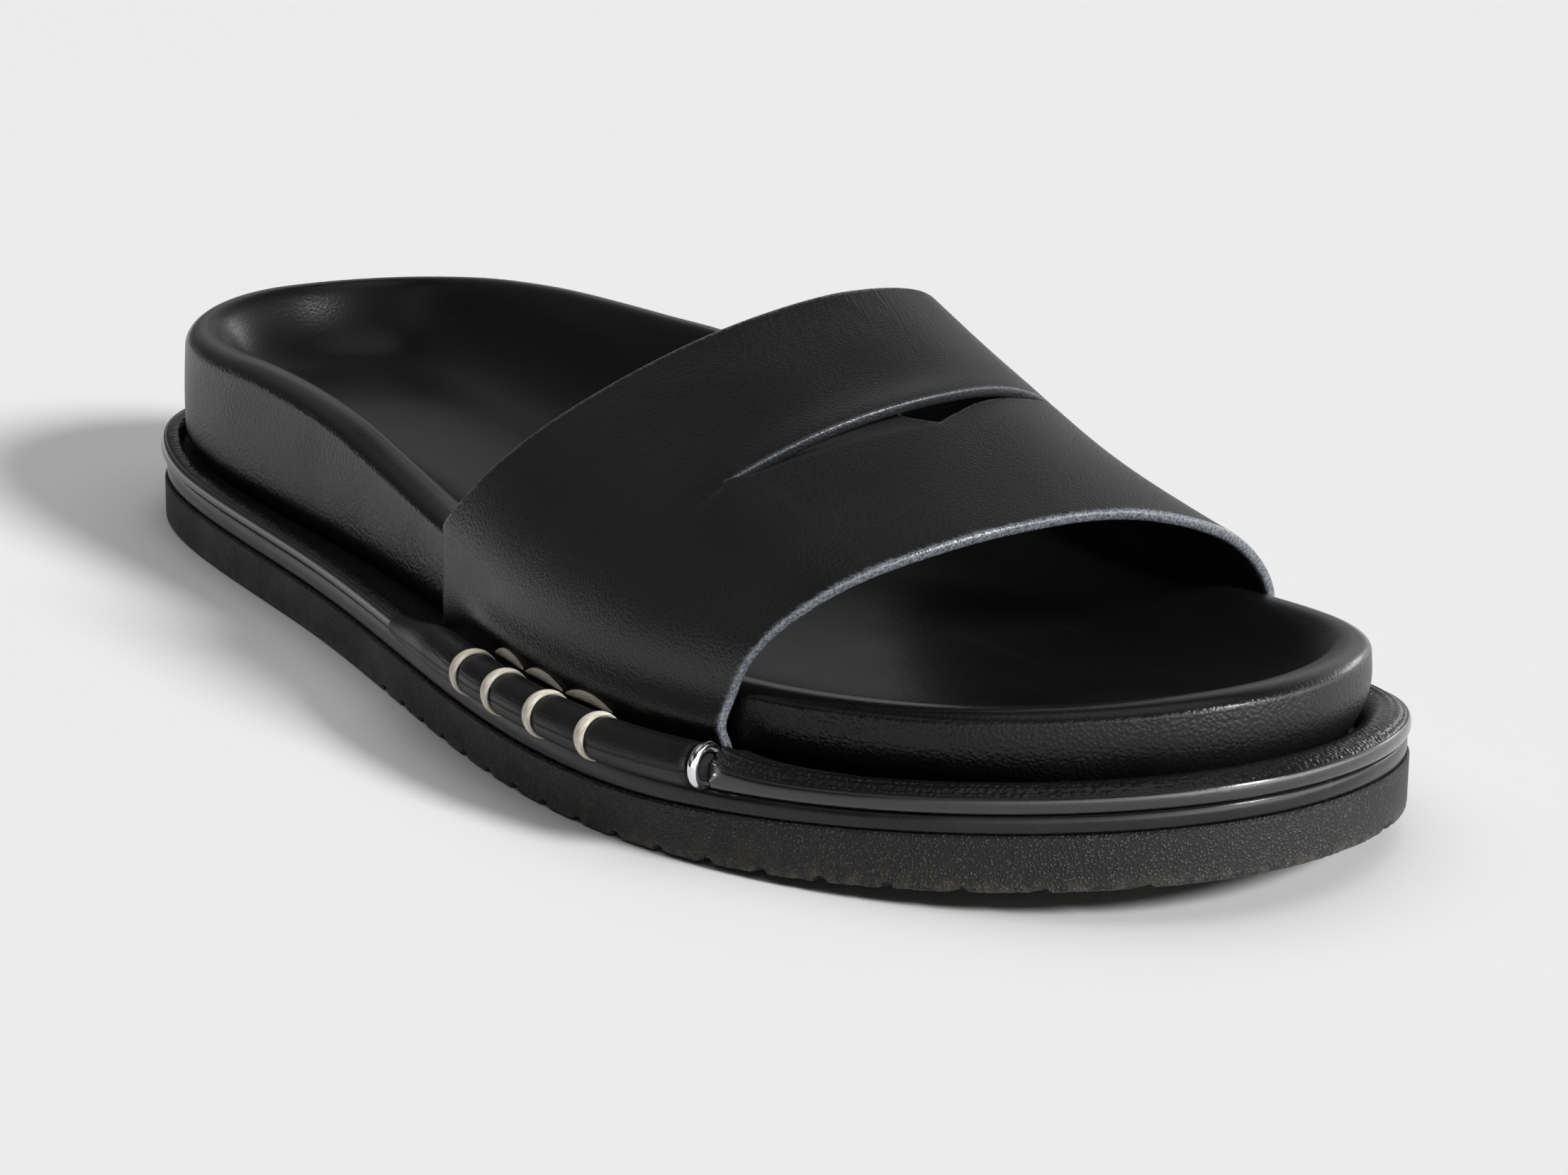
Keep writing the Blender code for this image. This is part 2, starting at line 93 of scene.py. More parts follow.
lastShape = {
    "outline": ((1.3, 140.0), (-22.9, 131.0), (-36.0, 105.0), (-43.2, 45.0), (-52.1, -10.0),
                (-54.7, -62.0), (-34.6, -112.0), (5.9, -140.0), (49.4, -116.0), (49.7, -65.0),
                (43.7, -5.0), (37.9, 45.0), (36.4, 105.0), (25.5, 131.0)),
    "samples": 1440,
    "springStart": -60.0,
    "toeSpring": 6.6,
    "outsoleTop": ((-140.0, 8.3), (-95.0, 8.2), (-65.0, 7.6), (0.0, 7.5), (140.0, 7.5)),
    "midsoleTop": 11.2,
    "clearance": 0.3,
    "wallInset": ((-140.0, 5.9), (-118.0, 6.3), (-92.0, 8.3), (-40.0, 8.5), (0.0, 8.4),
                  (60.0, 6.0), (110.0, 4.2), (140.0, 3.9)),
    # y, lateral rim, medial rim, floor, over the local underside
    "footbed": ((-140.0, 24.0, 24.0, 20.0), (-118.0, 23.9, 25.2, 19.6), (-105.0, 23.9, 26.2, 19.4),
                (-85.0, 24.1, 27.4, 19.4), (-60.0, 24.9, 28.0, 19.6), (-20.0, 26.6, 34.6, 21.2),
                (15.0, 29.2, 43.1, 22.6), (32.0, 31.5, 44.5, 23.0), (50.0, 34.3, 43.8, 23.2),
                (65.0, 35.5, 42.9, 23.3), (82.0, 35.7, 41.6, 23.2), (103.0, 34.5, 39.4, 23.0),
                (125.0, 34.2, 36.9, 23.3), (140.0, 35.6, 35.6, 23.6)),
    # y, reach of the rim's outer shoulder, its drop
    "shoulder": ((-140.0, 3.0, 1.8), (-75.0, 3.2, 2.0), (0.0, 3.6, 2.8), (60.0, 3.8, 3.3), (140.0, 3.8, 3.3)),
}


def closedCurve(points, samples):
    # periodic cubic, its knots spaced by the square root of the chords
    points = np.array(points, float)
    after = np.sqrt(np.linalg.norm(np.roll(points, -1, axis=0) - points, axis=1))
    before = np.roll(after, 1)
    rise = (np.roll(points, -1, axis=0) - points) / after[:, None]
    eye = np.eye(len(points))
    matrix = np.diag(2.0 * (before + after))
    matrix += before[:, None] * np.roll(eye, -1, axis=1) + after[:, None] * np.roll(eye, 1, axis=1)
    bends = np.linalg.solve(matrix, 6.0 * (rise - np.roll(rise, 1, axis=0)))
    knots = np.concatenate([[0.0], np.cumsum(after)])
    t = np.linspace(0.0, knots[-1], samples, endpoint=False)
    i = np.clip(np.searchsorted(knots, t, side="right") - 1, 0, len(points) - 1)
    j = (i + 1) % len(points)
    h, a, b = after[i][:, None], (knots[i + 1] - t)[:, None], (t - knots[i])[:, None]
    curve = (bends[i] * a ** 3 + bends[j] * b ** 3) / (6.0 * h)
    return curve + (points[i] / h - bends[i] * h / 6.0) * a + (points[j] / h - bends[j] * h / 6.0) * b


def makeOutline():
    curve = closedCurve(lastShape["outline"], lastShape["samples"])
    curve -= (curve.min(axis=0) + curve.max(axis=0)) / 2.0
    curve = np.roll(curve, -int(np.argmax(curve[:, 1])), axis=0)
    along = unit(np.roll(curve, -1, axis=0) - np.roll(curve, 1, axis=0))
    steps = np.linalg.norm(np.roll(curve, -1, axis=0) - curve, axis=1)
    return {
        "points": curve,
        "along": along,
        "inward": np.stack([-along[:, 1], along[:, 0]], axis=1),
        "toe": int(np.argmin(curve[:, 1])),
        "arc": np.concatenate([[0.0], np.cumsum(steps)]),
        "length": np.ptp(curve[:, 1]),
    }


outline = makeOutline()


def outlineAt(s):
    # point, direction and inward normal at arc length s
    found = []
    for key in ("points", "along", "inward"):
        closed = np.vstack([outline[key], outline[key][:1]])
        pair = [np.interp(s % outline["arc"][-1], outline["arc"], closed[:, k]) for k in (0, 1)]
        found.append(np.stack(pair, axis=-1))
    return found


def arcAt(side, y):
    toe = outline["toe"]
    order = np.arange(toe, -1, -1) if side == "lateral" else np.arange(toe, len(outline["points"]))
    return np.interp(y, outline["points"][order, 1], outline["arc"][order])


def outlineX(side, inset, y):
    # x of one side of the outline moved inward, at y
    moved = outline["points"] + outline["inward"] * inset[:, None]
    toe = outline["toe"]
    rows = moved[:toe + 1] if side == "lateral" else np.vstack([moved[toe:], moved[:1]])
    rows = rows[np.argsort(rows[:, 1])]
    return np.interp(y, rows[:, 1], rows[:, 0])


def outlineRing(half):
    # evenly spaced ring: half steps down the lateral side, half steps back up the medial side
    toeArc, total = outline["arc"][outline["toe"]], outline["arc"][-1]
    s = np.concatenate([np.linspace(0.0, toeArc, half, endpoint=False),
                        np.linspace(toeArc, total, half, endpoint=False)])
    place, _, inward = outlineAt(s)
    return s, place, unit(inward), np.arange(2 * half) <= half


def soleBottom(y):
    # flat, then a parabola up to the toe tip
    reach = outline["length"] / 2.0 + lastShape["springStart"]
    share = np.clip((lastShape["springStart"] - y) / reach, 0.0, None)
    return lastShape["toeSpring"] * share ** 2


def wallInset(y):
    return readTable(lastShape["wallInset"], y)


def rimHeight(lateral, y):
    return np.where(lateral, readTable(lastShape["footbed"], y, 1), readTable(lastShape["footbed"], y, 2))


# helpers for meshes

upward = np.array((0.0, 0.0, 1.0))
weldDistance, sliverLength = 0.004, 0.001  # millimetres


def gridQuads(rows, cols, wrap):
    # quads between neighbouring rows and columns of a grid numbered row by row
    r, c = np.meshgrid(np.arange(rows - 1), np.arange(cols if wrap else cols - 1), indexing="ij")
    n = (c + 1) % cols
    low, high = r * cols, (r + 1) * cols
    return np.stack([low + c, low + n, high + n, high + c], axis=-1).reshape(-1, 4)


def raised(xy, z):
    # flat places and their heights as points
    return np.concatenate([xy, np.expand_dims(z, -1)], axis=-1)


def sweep(path, across, up, profile):
    # closed profile (share across, share up) carried along a path: rows along, columns around
    return path[:, None] + across[:, None] * profile[..., 0:1] + up[:, None] * profile[..., 1:2]


def closeEnds(grid, **marks):
    # a tube as a sheet, each end drawn to its middle; marks with one row stay the same all along
    ends = [np.repeat(grid[k].mean(axis=0)[None, None], grid.shape[1], axis=1) for k in (0, -1)]
    for key, values in marks.items():
        if len(values) > 1:
            marks[key] = np.concatenate([values[:1], values, values[-1:]])
    return np.concatenate([ends[0], grid, ends[1]]), True, marks


def acrossCap(ring, count, height=None):
    # strips from the lateral to the medial half of a ring, as a grid; height gives z inside
    half = len(ring) // 2
    k = np.arange(half + 1)
    left, right = ring[k], ring[(len(ring) - k) % len(ring)]
    t = np.linspace(0.0, 1.0, count + 1)[None, :, None]
    grid = left[:, None] * (1.0 - t) + right[:, None] * t
    if height is not None:
        inner = grid[:, 1:-1]
        inner[..., 2] = height(inner[..., 0], inner[..., 1])
    return grid


def makePiece(name, sheets, sharp):
    # sheets are (grid of points, closed round the columns or not, marks on the grid);
    # their shared borders are welded, the faces turned outward and edges past the sharp angle kept crisp
    points, quads, marks, first = [], [], {}, 0
    for grid, wrap, sheetMarks in sheets:
        rows, cols = grid.shape[:2]
        points.append(grid.reshape(-1, 3))
        quads.append(gridQuads(rows, cols, wrap) + first)
        for key, values in sheetMarks.items():
            spread = np.broadcast_to(values, (rows, cols)).reshape(-1)
            marks.setdefault(key, []).append((first, spread))
        first += rows * cols
    mesh = bpy.data.meshes.new(name)
    mesh.from_pydata((np.vstack(points) * mm).tolist(), [], np.vstack(quads).tolist())
    for key, parts in marks.items():
        values = np.zeros(first, np.float32)
        for start, spread in parts:
            values[start:start + len(spread)] = spread
        mesh.attributes.new(key, "FLOAT", "POINT").data.foreach_set("value", values)
    work = bmesh.new()
    work.from_mesh(mesh)
    bmesh.ops.remove_doubles(work, verts=work.verts, dist=weldDistance * mm)
    bmesh.ops.dissolve_degenerate(work, edges=work.edges, dist=sliverLength * mm)
    bmesh.ops.recalc_face_normals(work, faces=work.faces)
    work.to_mesh(mesh)
    work.free()
    mesh.shade_smooth()
    mesh.set_sharp_from_angle(angle=math.radians(sharp))
    piece = bpy.data.objects.new(name, mesh)
    bpy.context.scene.collection.objects.link(piece)
    return piece


def settle(piece, material, slot, *nodes):
    piece.data.materials.append(material)
    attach(piece, "root")
    if nodes:
        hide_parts(*nodes)
    print("made", piece.name, len(piece.data.polygons), "faces")


# shader nodes: shorthands, and the groups shared by the materials

class Nodes:
    # short ways to add nodes to one tree; a socket or a plain value may go into any input
    def __init__(self, tree):
        self.tree = tree

    def put(self, socket, value):
        if hasattr(value, "is_output"):
            self.tree.links.new(value, socket)
        elif value is not None:
            socket.default_value = value

    def add(self, kind, settings=None, **inputs):
        node = self.tree.nodes.new(kind)
        for key, value in (settings or {}).items():
            setattr(node, key, value)
        for key, value in inputs.items():
            self.put(node.inputs[key.replace("_", " ")], value)
        return node

    def math(self, operation, a, b=None, c=None):
        node = self.add("ShaderNodeMath", {"operation": operation})
        for socket, value in zip(node.inputs, (a, b, c)):
            self.put(socket, value)
        return node.outputs[0]

    def ramp(self, value, low, high, start=0.0, end=1.0):
        # S-shaped change from start to end while the value goes from low to high
        node = self.add("ShaderNodeMapRange", {"interpolation_type": "SMOOTHSTEP"}, Value=value)
        for socket, number in zip(node.inputs[1:5], (low, high, start, end)):
            self.put(socket, number)
        return node.outputs[0]

    def mix(self, share, a, b):
        node = self.add("ShaderNodeMix", {"data_type": "RGBA"})
        for index, value in ((0, share), (6, a), (7, b)):
            self.put(node.inputs[index], value)
        return node.outputs[2]

    def tint(self, colour, mask, share, over):
        # another colour laid over the first, by a share of a mask
        return self.mix(self.math("MULTIPLY", mask, share), colour, over)

    def noise(self, vector, scale, detail=3.0, rough=0.55):
        node = self.add("ShaderNodeTexNoise", Vector=vector, Scale=scale, Detail=detail, Roughness=rough)
        return node.outputs["Fac"]

    def cells(self, vector, scale):
        return self.add("ShaderNodeTexVoronoi", Vector=vector, Scale=scale).outputs["Distance"]

    def mark(self, name):
        return self.add("ShaderNodeAttribute", {"attribute_name": name}).outputs["Fac"]

    def group(self, tree, **inputs):
        return self.add("ShaderNodeGroup", {"node_tree": tree}, **inputs).outputs


floatKind, vectorKind = "NodeSocketFloat", "NodeSocketVector"


def newGroup(name, outputs, **inputs):
    # a group that reads a vector and plain values, given with their defaults, and puts out plain values
    group = bpy.data.node_groups.new(name, "ShaderNodeTree")
    group.interface.new_socket(name="Vector", in_out="INPUT", socket_type=vectorKind)
    for label, value in inputs.items():
        socket = group.interface.new_socket(name=label, in_out="INPUT", socket_type=floatKind)
        socket.default_value = value
    for label in outputs:
        group.interface.new_socket(name=label, in_out="OUTPUT", socket_type=floatKind)
    ends = group.nodes.new("NodeGroupInput").outputs, group.nodes.new("NodeGroupOutput").inputs
    return group, Nodes(group), *ends


def makeLeatherGrain():
    # rounded pebbles split by valleys, with a slow change of depth over the hide and fine pores on top
    group, n, given, out = newGroup("leatherGrain", ("Height", "ShadedValleys"), Pebble=0.8, Depth=0.05, Pores=0.01)
    where = given["Vector"]
    scale = n.math("DIVIDE", 1000.0, given["Pebble"])
    cell = n.cells(where, scale)
    patch = n.ramp(n.noise(where, 70.0, 0.0), 0.3, 0.7, 0.65, 1.15)
    pores = n.math("MULTIPLY", n.noise(where, n.math("MULTIPLY", scale, 2.3), 1.0), given["Pores"])
    dome = n.math("MULTIPLY", n.ramp(cell, 0.1, 0.8, 1.0, 0.0), patch)
    n.put(out["Height"], n.math("MULTIPLY_ADD", dome, given["Depth"], pores))
    # mask of the valleys between pebbles, used to paint shade into them
    n.put(out["ShadedValleys"], n.ramp(cell, 0.45, 0.8))
    return group


def makeHandling():
    # soft cloudy patches and a few fine rubbed streaks, as masks
    group, n, given, out = newGroup("handling", ("Cloud", "Rubs"), Patch=25.0, Streak=300.0)
    where = given["Vector"]
    cloud = n.noise(where, given["Patch"], 2.0, 0.6)
    stretch = n.add("ShaderNodeMapping", Vector=where, Rotation=(0.3, 0.2, 0.7), Scale=(1.0, 0.06, 0.4))
    streaks = n.noise(stretch.outputs[0], given["Streak"], 1.0, 0.6)
    sparse = n.ramp(n.noise(where, 40.0, 1.0), 0.5, 0.68)
    n.put(out["Cloud"], n.ramp(cloud, 0.3, 0.7))
    n.put(out["Rubs"], n.math("MULTIPLY", n.ramp(streaks, 0.62, 0.72), sparse))
    return group


def makeFloorDust():
    # pale dust that gathers low on the sole and thins out upward, broken up by noise
    group, n, given, out = newGroup("floorDust", ("Dust",), Low=0.0, High=0.012)
    where = given["Vector"]
    split = n.add("ShaderNodeSeparateXYZ", Vector=where)
    low = n.ramp(split.outputs["Z"], given["Low"], given["High"], 1.0, 0.0)
    broken = n.ramp(n.noise(where, 420.0, 3.0, 0.7), 0.42, 0.7)
    n.put(out["Dust"], n.math("MULTIPLY", low, broken))
    return group


leatherGrain, handling, floorDust = makeLeatherGrain(), makeHandling(), makeFloorDust()
print("shared node groups ready")


def newMaterial(name, **sockets):
    # a material with one Principled shader, its plain values set on the shader's own sockets
    material = bpy.data.materials.new(name)
    material.use_nodes = True
    n = Nodes(material.node_tree)
    shader = material.node_tree.nodes["Principled BSDF"]
    for key, value in sockets.items():
        shader.inputs[key.replace("_", " ")].default_value = value
    where = n.add("ShaderNodeTexCoord").outputs["Object"]
    return material, n, shader.inputs, where


def dress(n, surface, colour, rough, height=None, coat=None):
    # joins the finished masks to the shader; heights are in millimetres
    n.put(surface["Base Color"], colour)
    n.put(surface["Roughness"], rough)
    n.put(surface["Coat Weight"], coat)
    if height is not None:
        n.put(surface["Normal"], n.add("ShaderNodeBump", Distance=mm, Height=height).outputs[0])


# outsole: small rounded lower corner, straight granular side, cross ribs underneath

outsoleShape = {
    "half": 760,
    "corner": 0.8,
    "cornerRows": 6,
    "sideRows": 6,
    "across": 30,
    "topAcross": 6,
    "topEase": (0.3, 1.2),  # insets of the two rows that turn in over the side
    "topRise": 0.02,
    "grooves": ((-133.2, 11.3, 17), (54.0, 134.0, 9)),  # first y, last y, steps
    "grooveWidth": 1.9,
    "grooveDepth": 1.2,
    "grooveSoft": 0.5,
    "notch": 0.75,  # share of a groove's depth that nicks the side
    "notchFade": (10.0, 30.0),  # the nicks end between these y
    "nickHeight": 2.0,
    "ragged": 0.3,
    "raggedWaves": (1.3, 2.9, 4.7, 11.0),
    "wornHeight": 2.2,
    # looks
    "gloss": 0.3,
    "rough": (0.5, 0.66),
    "crumbs": 2300.0,  # to the metre
    "rubber": ((0.0055, 0.0055, 0.0056, 1), (0.009, 0.009, 0.0088, 1)),
    "crumb": (0.1, 0.098, 0.093, 1),
    "dust": (0.1, 0.084, 0.066, 1),
    "worn": (0.16, 0.15, 0.135, 1),
}


def grooveLift(y):
    places = np.concatenate([np.linspace(a, b, k + 1) for a, b, k in outsoleShape["grooves"]])
    near = np.abs(np.asarray(y)[..., None] - places).min(axis=-1)
    half, soft = outsoleShape["grooveWidth"] / 2.0, outsoleShape["grooveSoft"]
    return outsoleShape["grooveDepth"] * (1.0 - softStep(half - soft / 2.0, half + soft / 2.0, near))


def makeOutsole():
    # ring rows: quarter circle at the lower corner, then the side; the grooves lift the low rows
    shape = outsoleShape
    s, place, inward, _ = outlineRing(shape["half"])
    corner, ease, top = shape["corner"], shape["topEase"], readTable(lastShape["outsoleTop"], place[:, 1])
    turn = np.linspace(0.0, math.pi / 2.0, shape["cornerRows"])[:, None]
    side = np.linspace(0.0, 1.0, shape["sideRows"] + 1)[1:, None]
    lift = np.vstack([corner * (1.0 - np.cos(turn)) + 0.0 * top, corner + (top - ease[0] - corner) * side,
                      top, top + shape["topRise"]])
    inset = np.concatenate([corner * (1.0 - np.sin(turn[:, 0])), 0.0 * side[:, 0], ease])
    xy = place[None] + inward[None] * inset[:, None, None]
    low = np.clip(1.0 - lift / shape["nickHeight"], 0.0, 1.0)
    ragged = np.abs(ripple(s, shape["raggedWaves"], seed=3))[None] * shape["ragged"] * low
    notch = shape["notch"] * grooveLift(xy[..., 1]) * (1.0 - softStep(*shape["notchFade"], xy[..., 1]))
    wall = raised(xy, soleBottom(xy[..., 1]) + lift + (notch + ragged) * low)
    under = acrossCap(wall[0], shape["across"], lambda x, y: soleBottom(y) + grooveLift(y))
    worn = np.clip(1.0 - lift / shape["wornHeight"], 0.0, 1.0)
    sheets = [(wall, True, {"lowEdge": worn}), (under, False, {"lowEdge": 1.0}),
              (acrossCap(wall[-1], shape["topAcross"]), False, {})]
    return makePiece("outsoleRubber", sheets, sharp=35.0)


def outsoleMaterial():
    # dark rubber full of pale crumbs, worn lighter along the lower edge
    look = outsoleShape
    material, n, surface, where = newMaterial("crumbRubber", Specular_IOR_Level=look["gloss"])
    crumb = n.cells(where, look["crumbs"])
    grit = n.noise(where, 1500.0, 2.0, 0.7)
    specks = n.math("MULTIPLY", n.ramp(crumb, 0.15, 0.45, 1.0, 0.0), n.ramp(grit, 0.42, 0.58))
    cloud = n.group(handling, Vector=where, Patch=60.0)["Cloud"]
    dust = n.group(floorDust, Vector=where, Low=0.001, High=0.010)["Dust"]
    worn = n.math("MULTIPLY", n.mark("lowEdge"), n.ramp(n.noise(where, 600.0, 3.0, 0.65), 0.38, 0.62))
    colour = n.mix(cloud, *look["rubber"])
    colour = n.tint(colour, specks, 0.75, look["crumb"])
    colour = n.tint(colour, dust, 0.2, look["dust"])
    colour = n.tint(colour, worn, 0.35, look["worn"])
    height = n.math("MULTIPLY_ADD", n.ramp(crumb, 0.1, 0.6, 1.0, 0.0), 0.1, n.math("MULTIPLY", grit, 0.13))
    dress(n, surface, colour, n.ramp(cloud, 0.0, 1.0, *look["rough"]), height)
    return material


settle(makeOutsole(), outsoleMaterial(), "outsole_rubber", "outsole")


# midsole: smooth band a little inside the outsole, with eased edges

midsoleShape = {
    "half": 480,
    "across": 6,
    # inset, share of the way from the outsole to the top
    "profile": ((3.0, 0.02), (1.0, 0.02), (0.62, 0.05), (0.45, 0.16), (0.36, 0.5), (0.45, 0.86), (0.7, 0.97),
                (1.2, 1.0), (3.0, 1.0)),
    # looks
    "gloss": 0.32,
    "rough": (0.16, 0.27),
    "rubber": ((0.008, 0.008, 0.0083, 1), (0.013, 0.013, 0.013, 1)),
    "dust": (0.1, 0.09, 0.08, 1),
    "rubbed": (0.05, 0.05, 0.05, 1),
}


def makeMidsole():
    # one profile carried round the outline, closed by strips below and above
    _, place, inward, _ = outlineRing(midsoleShape["half"])
    profile = np.array(midsoleShape["profile"])
    low = readTable(lastShape["outsoleTop"], place[:, 1])
    xy = place[None] + inward[None] * profile[:, 0, None, None]
    band = raised(xy, soleBottom(xy[..., 1]) + low + (lastShape["midsoleTop"] - low) * profile[:, 1, None])
    closing = [(acrossCap(band[row], midsoleShape["across"]), False, {}) for row in (0, -1)]
    return makePiece("midsoleBand", [(band, True, {})] + closing, sharp=50.0)


def midsoleMaterial():
    look = midsoleShape
    material, n, surface, where = newMaterial("satinRubber", Specular_IOR_Level=look["gloss"])
    marks = n.group(handling, Vector=where, Patch=45.0, Streak=500.0)
    dust = n.group(floorDust, Vector=where, Low=0.004, High=0.02)["Dust"]
    colour = n.mix(marks["Cloud"], *look["rubber"])
    colour = n.tint(colour, dust, 0.12, look["dust"])
    colour = n.tint(colour, marks["Rubs"], 0.4, look["rubbed"])
    rough = n.ramp(marks["Cloud"], 0.0, 1.0, *look["rough"])
    dress(n, surface, colour, rough, n.math("MULTIPLY", n.noise(where, 1500.0, 2.0), 0.02))
    return material


settle(makeMidsole(), midsoleMaterial(), "midsole_rubber", "midsole")


# footbed: leather wrapped wall that tucks in at its foot, rounded rim, dished top

footbedShape = {
    "half": 420,
    "lift": 0.1,  # over the midsole
    "tuck": 2.8,  # how far the wall draws in at its foot
    "tuckHeight": (9.5, 5.6),  # over this height, at the toe and from the ball back
    "tuckFrom": (-100.0, -20.0),  # the y of these two
    "belly": 0.3,
    # distance in from the rim's crest, share of the rim's height that is left
    "dish": ((0.0, 1.0), (0.8, 0.997), (1.5, 0.975), (2.3, 0.915), (3.2, 0.81), (4.6, 0.63), (7.0, 0.37),
             (9.8, 0.18), (13.0, 0.067), (16.5, 0.015), (20.0, 0.0)),
    "wallRows": 20,
    "wallEase": 1.25,  # powers that draw rows to the wall's foot and to the crest
    "shoulderRows": 14,
    "dishRows": 30,
    "dishEase": 1.5,
    "archExtra": 0.5,  # the dish is wider by this share in the arch
    "archMiddle": 10.0,
    "archHalf": 55.0,
    "archFrom": (0.5, 5.0),
    "across": 44,
    "underAcross": 4,
    # looks, with rows counted from the crest
    "pebbledTo": (-13.0, -2.0),
    "polishedAt": -4.0,
    "polishedRows": 6.0,
    "gloss": 0.27,
    "coat": 0.55,
    "coatRough": 0.16,
    "rough": (0.29, 0.37),
    "leather": ((0.0042, 0.0042, 0.0044, 1), (0.0066, 0.0065, 0.0064, 1)),
    # colour of the painted shade in the grain's valleys
    "valleyShade": (0.004, 0.004, 0.004, 1),
    "rubbed": (0.015, 0.015, 0.015, 1),
}


def footbedFloor(y):
    return soleBottom(y) + readTable(lastShape["footbed"], y, 3)


def makeFootbed():
    # wall rows with a rounded foot, elliptic shoulder up to the crest, dish rows, then the floor
    shape = footbedShape
    _, place, inward, lateral = outlineRing(shape["half"])
    y = place[:, 1]
    foot = place + inward * wallInset(y)[:, None]
    reach, drop = (readTable(lastShape["shoulder"], y, k) for k in (1, 2))
    low = soleBottom(y) + lastShape["midsoleTop"] + shape["lift"]
    rim = soleBottom(y) + rimHeight(lateral, y)

    rise = np.linspace(0.0, 1.0, shape["wallRows"])[:, None] ** shape["wallEase"]
    wallZ = low + (rim - drop - low) * rise
    draw = np.clip(1.0 - (wallZ - low) / np.interp(y, shape["tuckFrom"], shape["tuckHeight"]), 0.0, 1.0) ** 2
    wall = shape["tuck"] * draw - shape["belly"] * np.sin(math.pi * rise)

    turn = np.linspace(0.0, math.pi / 2.0, shape["shoulderRows"])[1:, None]
    shoulder, shoulderZ = reach * (1.0 - np.cos(turn)), rim - drop + drop * np.sin(turn)

    middle = np.clip(1.0 - ((y - shape["archMiddle"]) / shape["archHalf"]) ** 2, 0.0, None) ** 2
    d = shape["dish"][-1][0] * np.linspace(0.0, 1.0, shape["dishRows"] + 1)[1:, None] ** shape["dishEase"]
    dish = reach + d * (1.0 + shape["archExtra"] * middle * ~lateral * softStep(*shape["archFrom"], d))
    floor = footbedFloor((foot[None] + inward[None] * dish[..., None])[..., 1])
    dishZ = floor + (rim - floor) * readTable(shape["dish"], d)

    xy = foot[None] + inward[None] * np.vstack([wall, shoulder, dish])[..., None]
    body = raised(xy, np.vstack([wallZ, shoulderZ, dishZ]))
    row = np.arange(len(body))[:, None] - (shape["wallRows"] + shape["shoulderRows"] - 2)
    onWall = 1.0 - softStep(*shape["pebbledTo"], row)
    onRim = np.exp(-((row - shape["polishedAt"]) / shape["polishedRows"]) ** 2)
    top = acrossCap(body[-1], shape["across"], lambda x, y: footbedFloor(y))
    under = acrossCap(body[0], shape["underAcross"])
    sheets = [(body, True, {"onWall": onWall, "onRim": onRim}), (top, False, {}), (under, False, {})]
    return makePiece("footbedBody", sheets, sharp=60.0)


def footbedMaterial():
    # pebbled outside with painted shade in the pebbles' valleys, almost smooth inside, a little polished
    # along the rim
    look = footbedShape
    material, n, surface, where = newMaterial("footbedLeather", Specular_IOR_Level=look["gloss"],
                                              Coat_Roughness=look["coatRough"])
    wall, rim = n.mark("onWall"), n.mark("onRim")
    depth = n.ramp(wall, 0.0, 1.0, 0.012, 0.055)
    grain = n.group(leatherGrain, Vector=where, Pebble=0.62, Depth=depth, Pores=0.015)
    marks = n.group(handling, Vector=where, Patch=22.0, Streak=260.0)
    colour = n.mix(marks["Cloud"], *look["leather"])
    # painted shade: the grain's valleys on the wall are coloured darker
    colour = n.tint(colour, grain["ShadedValleys"], n.math("MULTIPLY", wall, 0.5), look["valleyShade"])
    colour = n.tint(colour, marks["Rubs"], 0.25, look["rubbed"])
    rough = n.math("ADD", n.ramp(marks["Cloud"], 0.0, 1.0, *look["rough"]), n.ramp(wall, 0.0, 1.0, 0.02, 0.0))
    rough = n.math("SUBTRACT", rough, n.math("MULTIPLY", rim, 0.12))
    dress(n, surface, colour, rough, grain["Height"], n.math("MULTIPLY", rim, look["coat"]))
    return material


settle(makeFootbed(), footbedMaterial(), "footbed_leather", "footbed")


# strap: one arched sheet with its feet behind the rolls and a lens-shaped slot across it

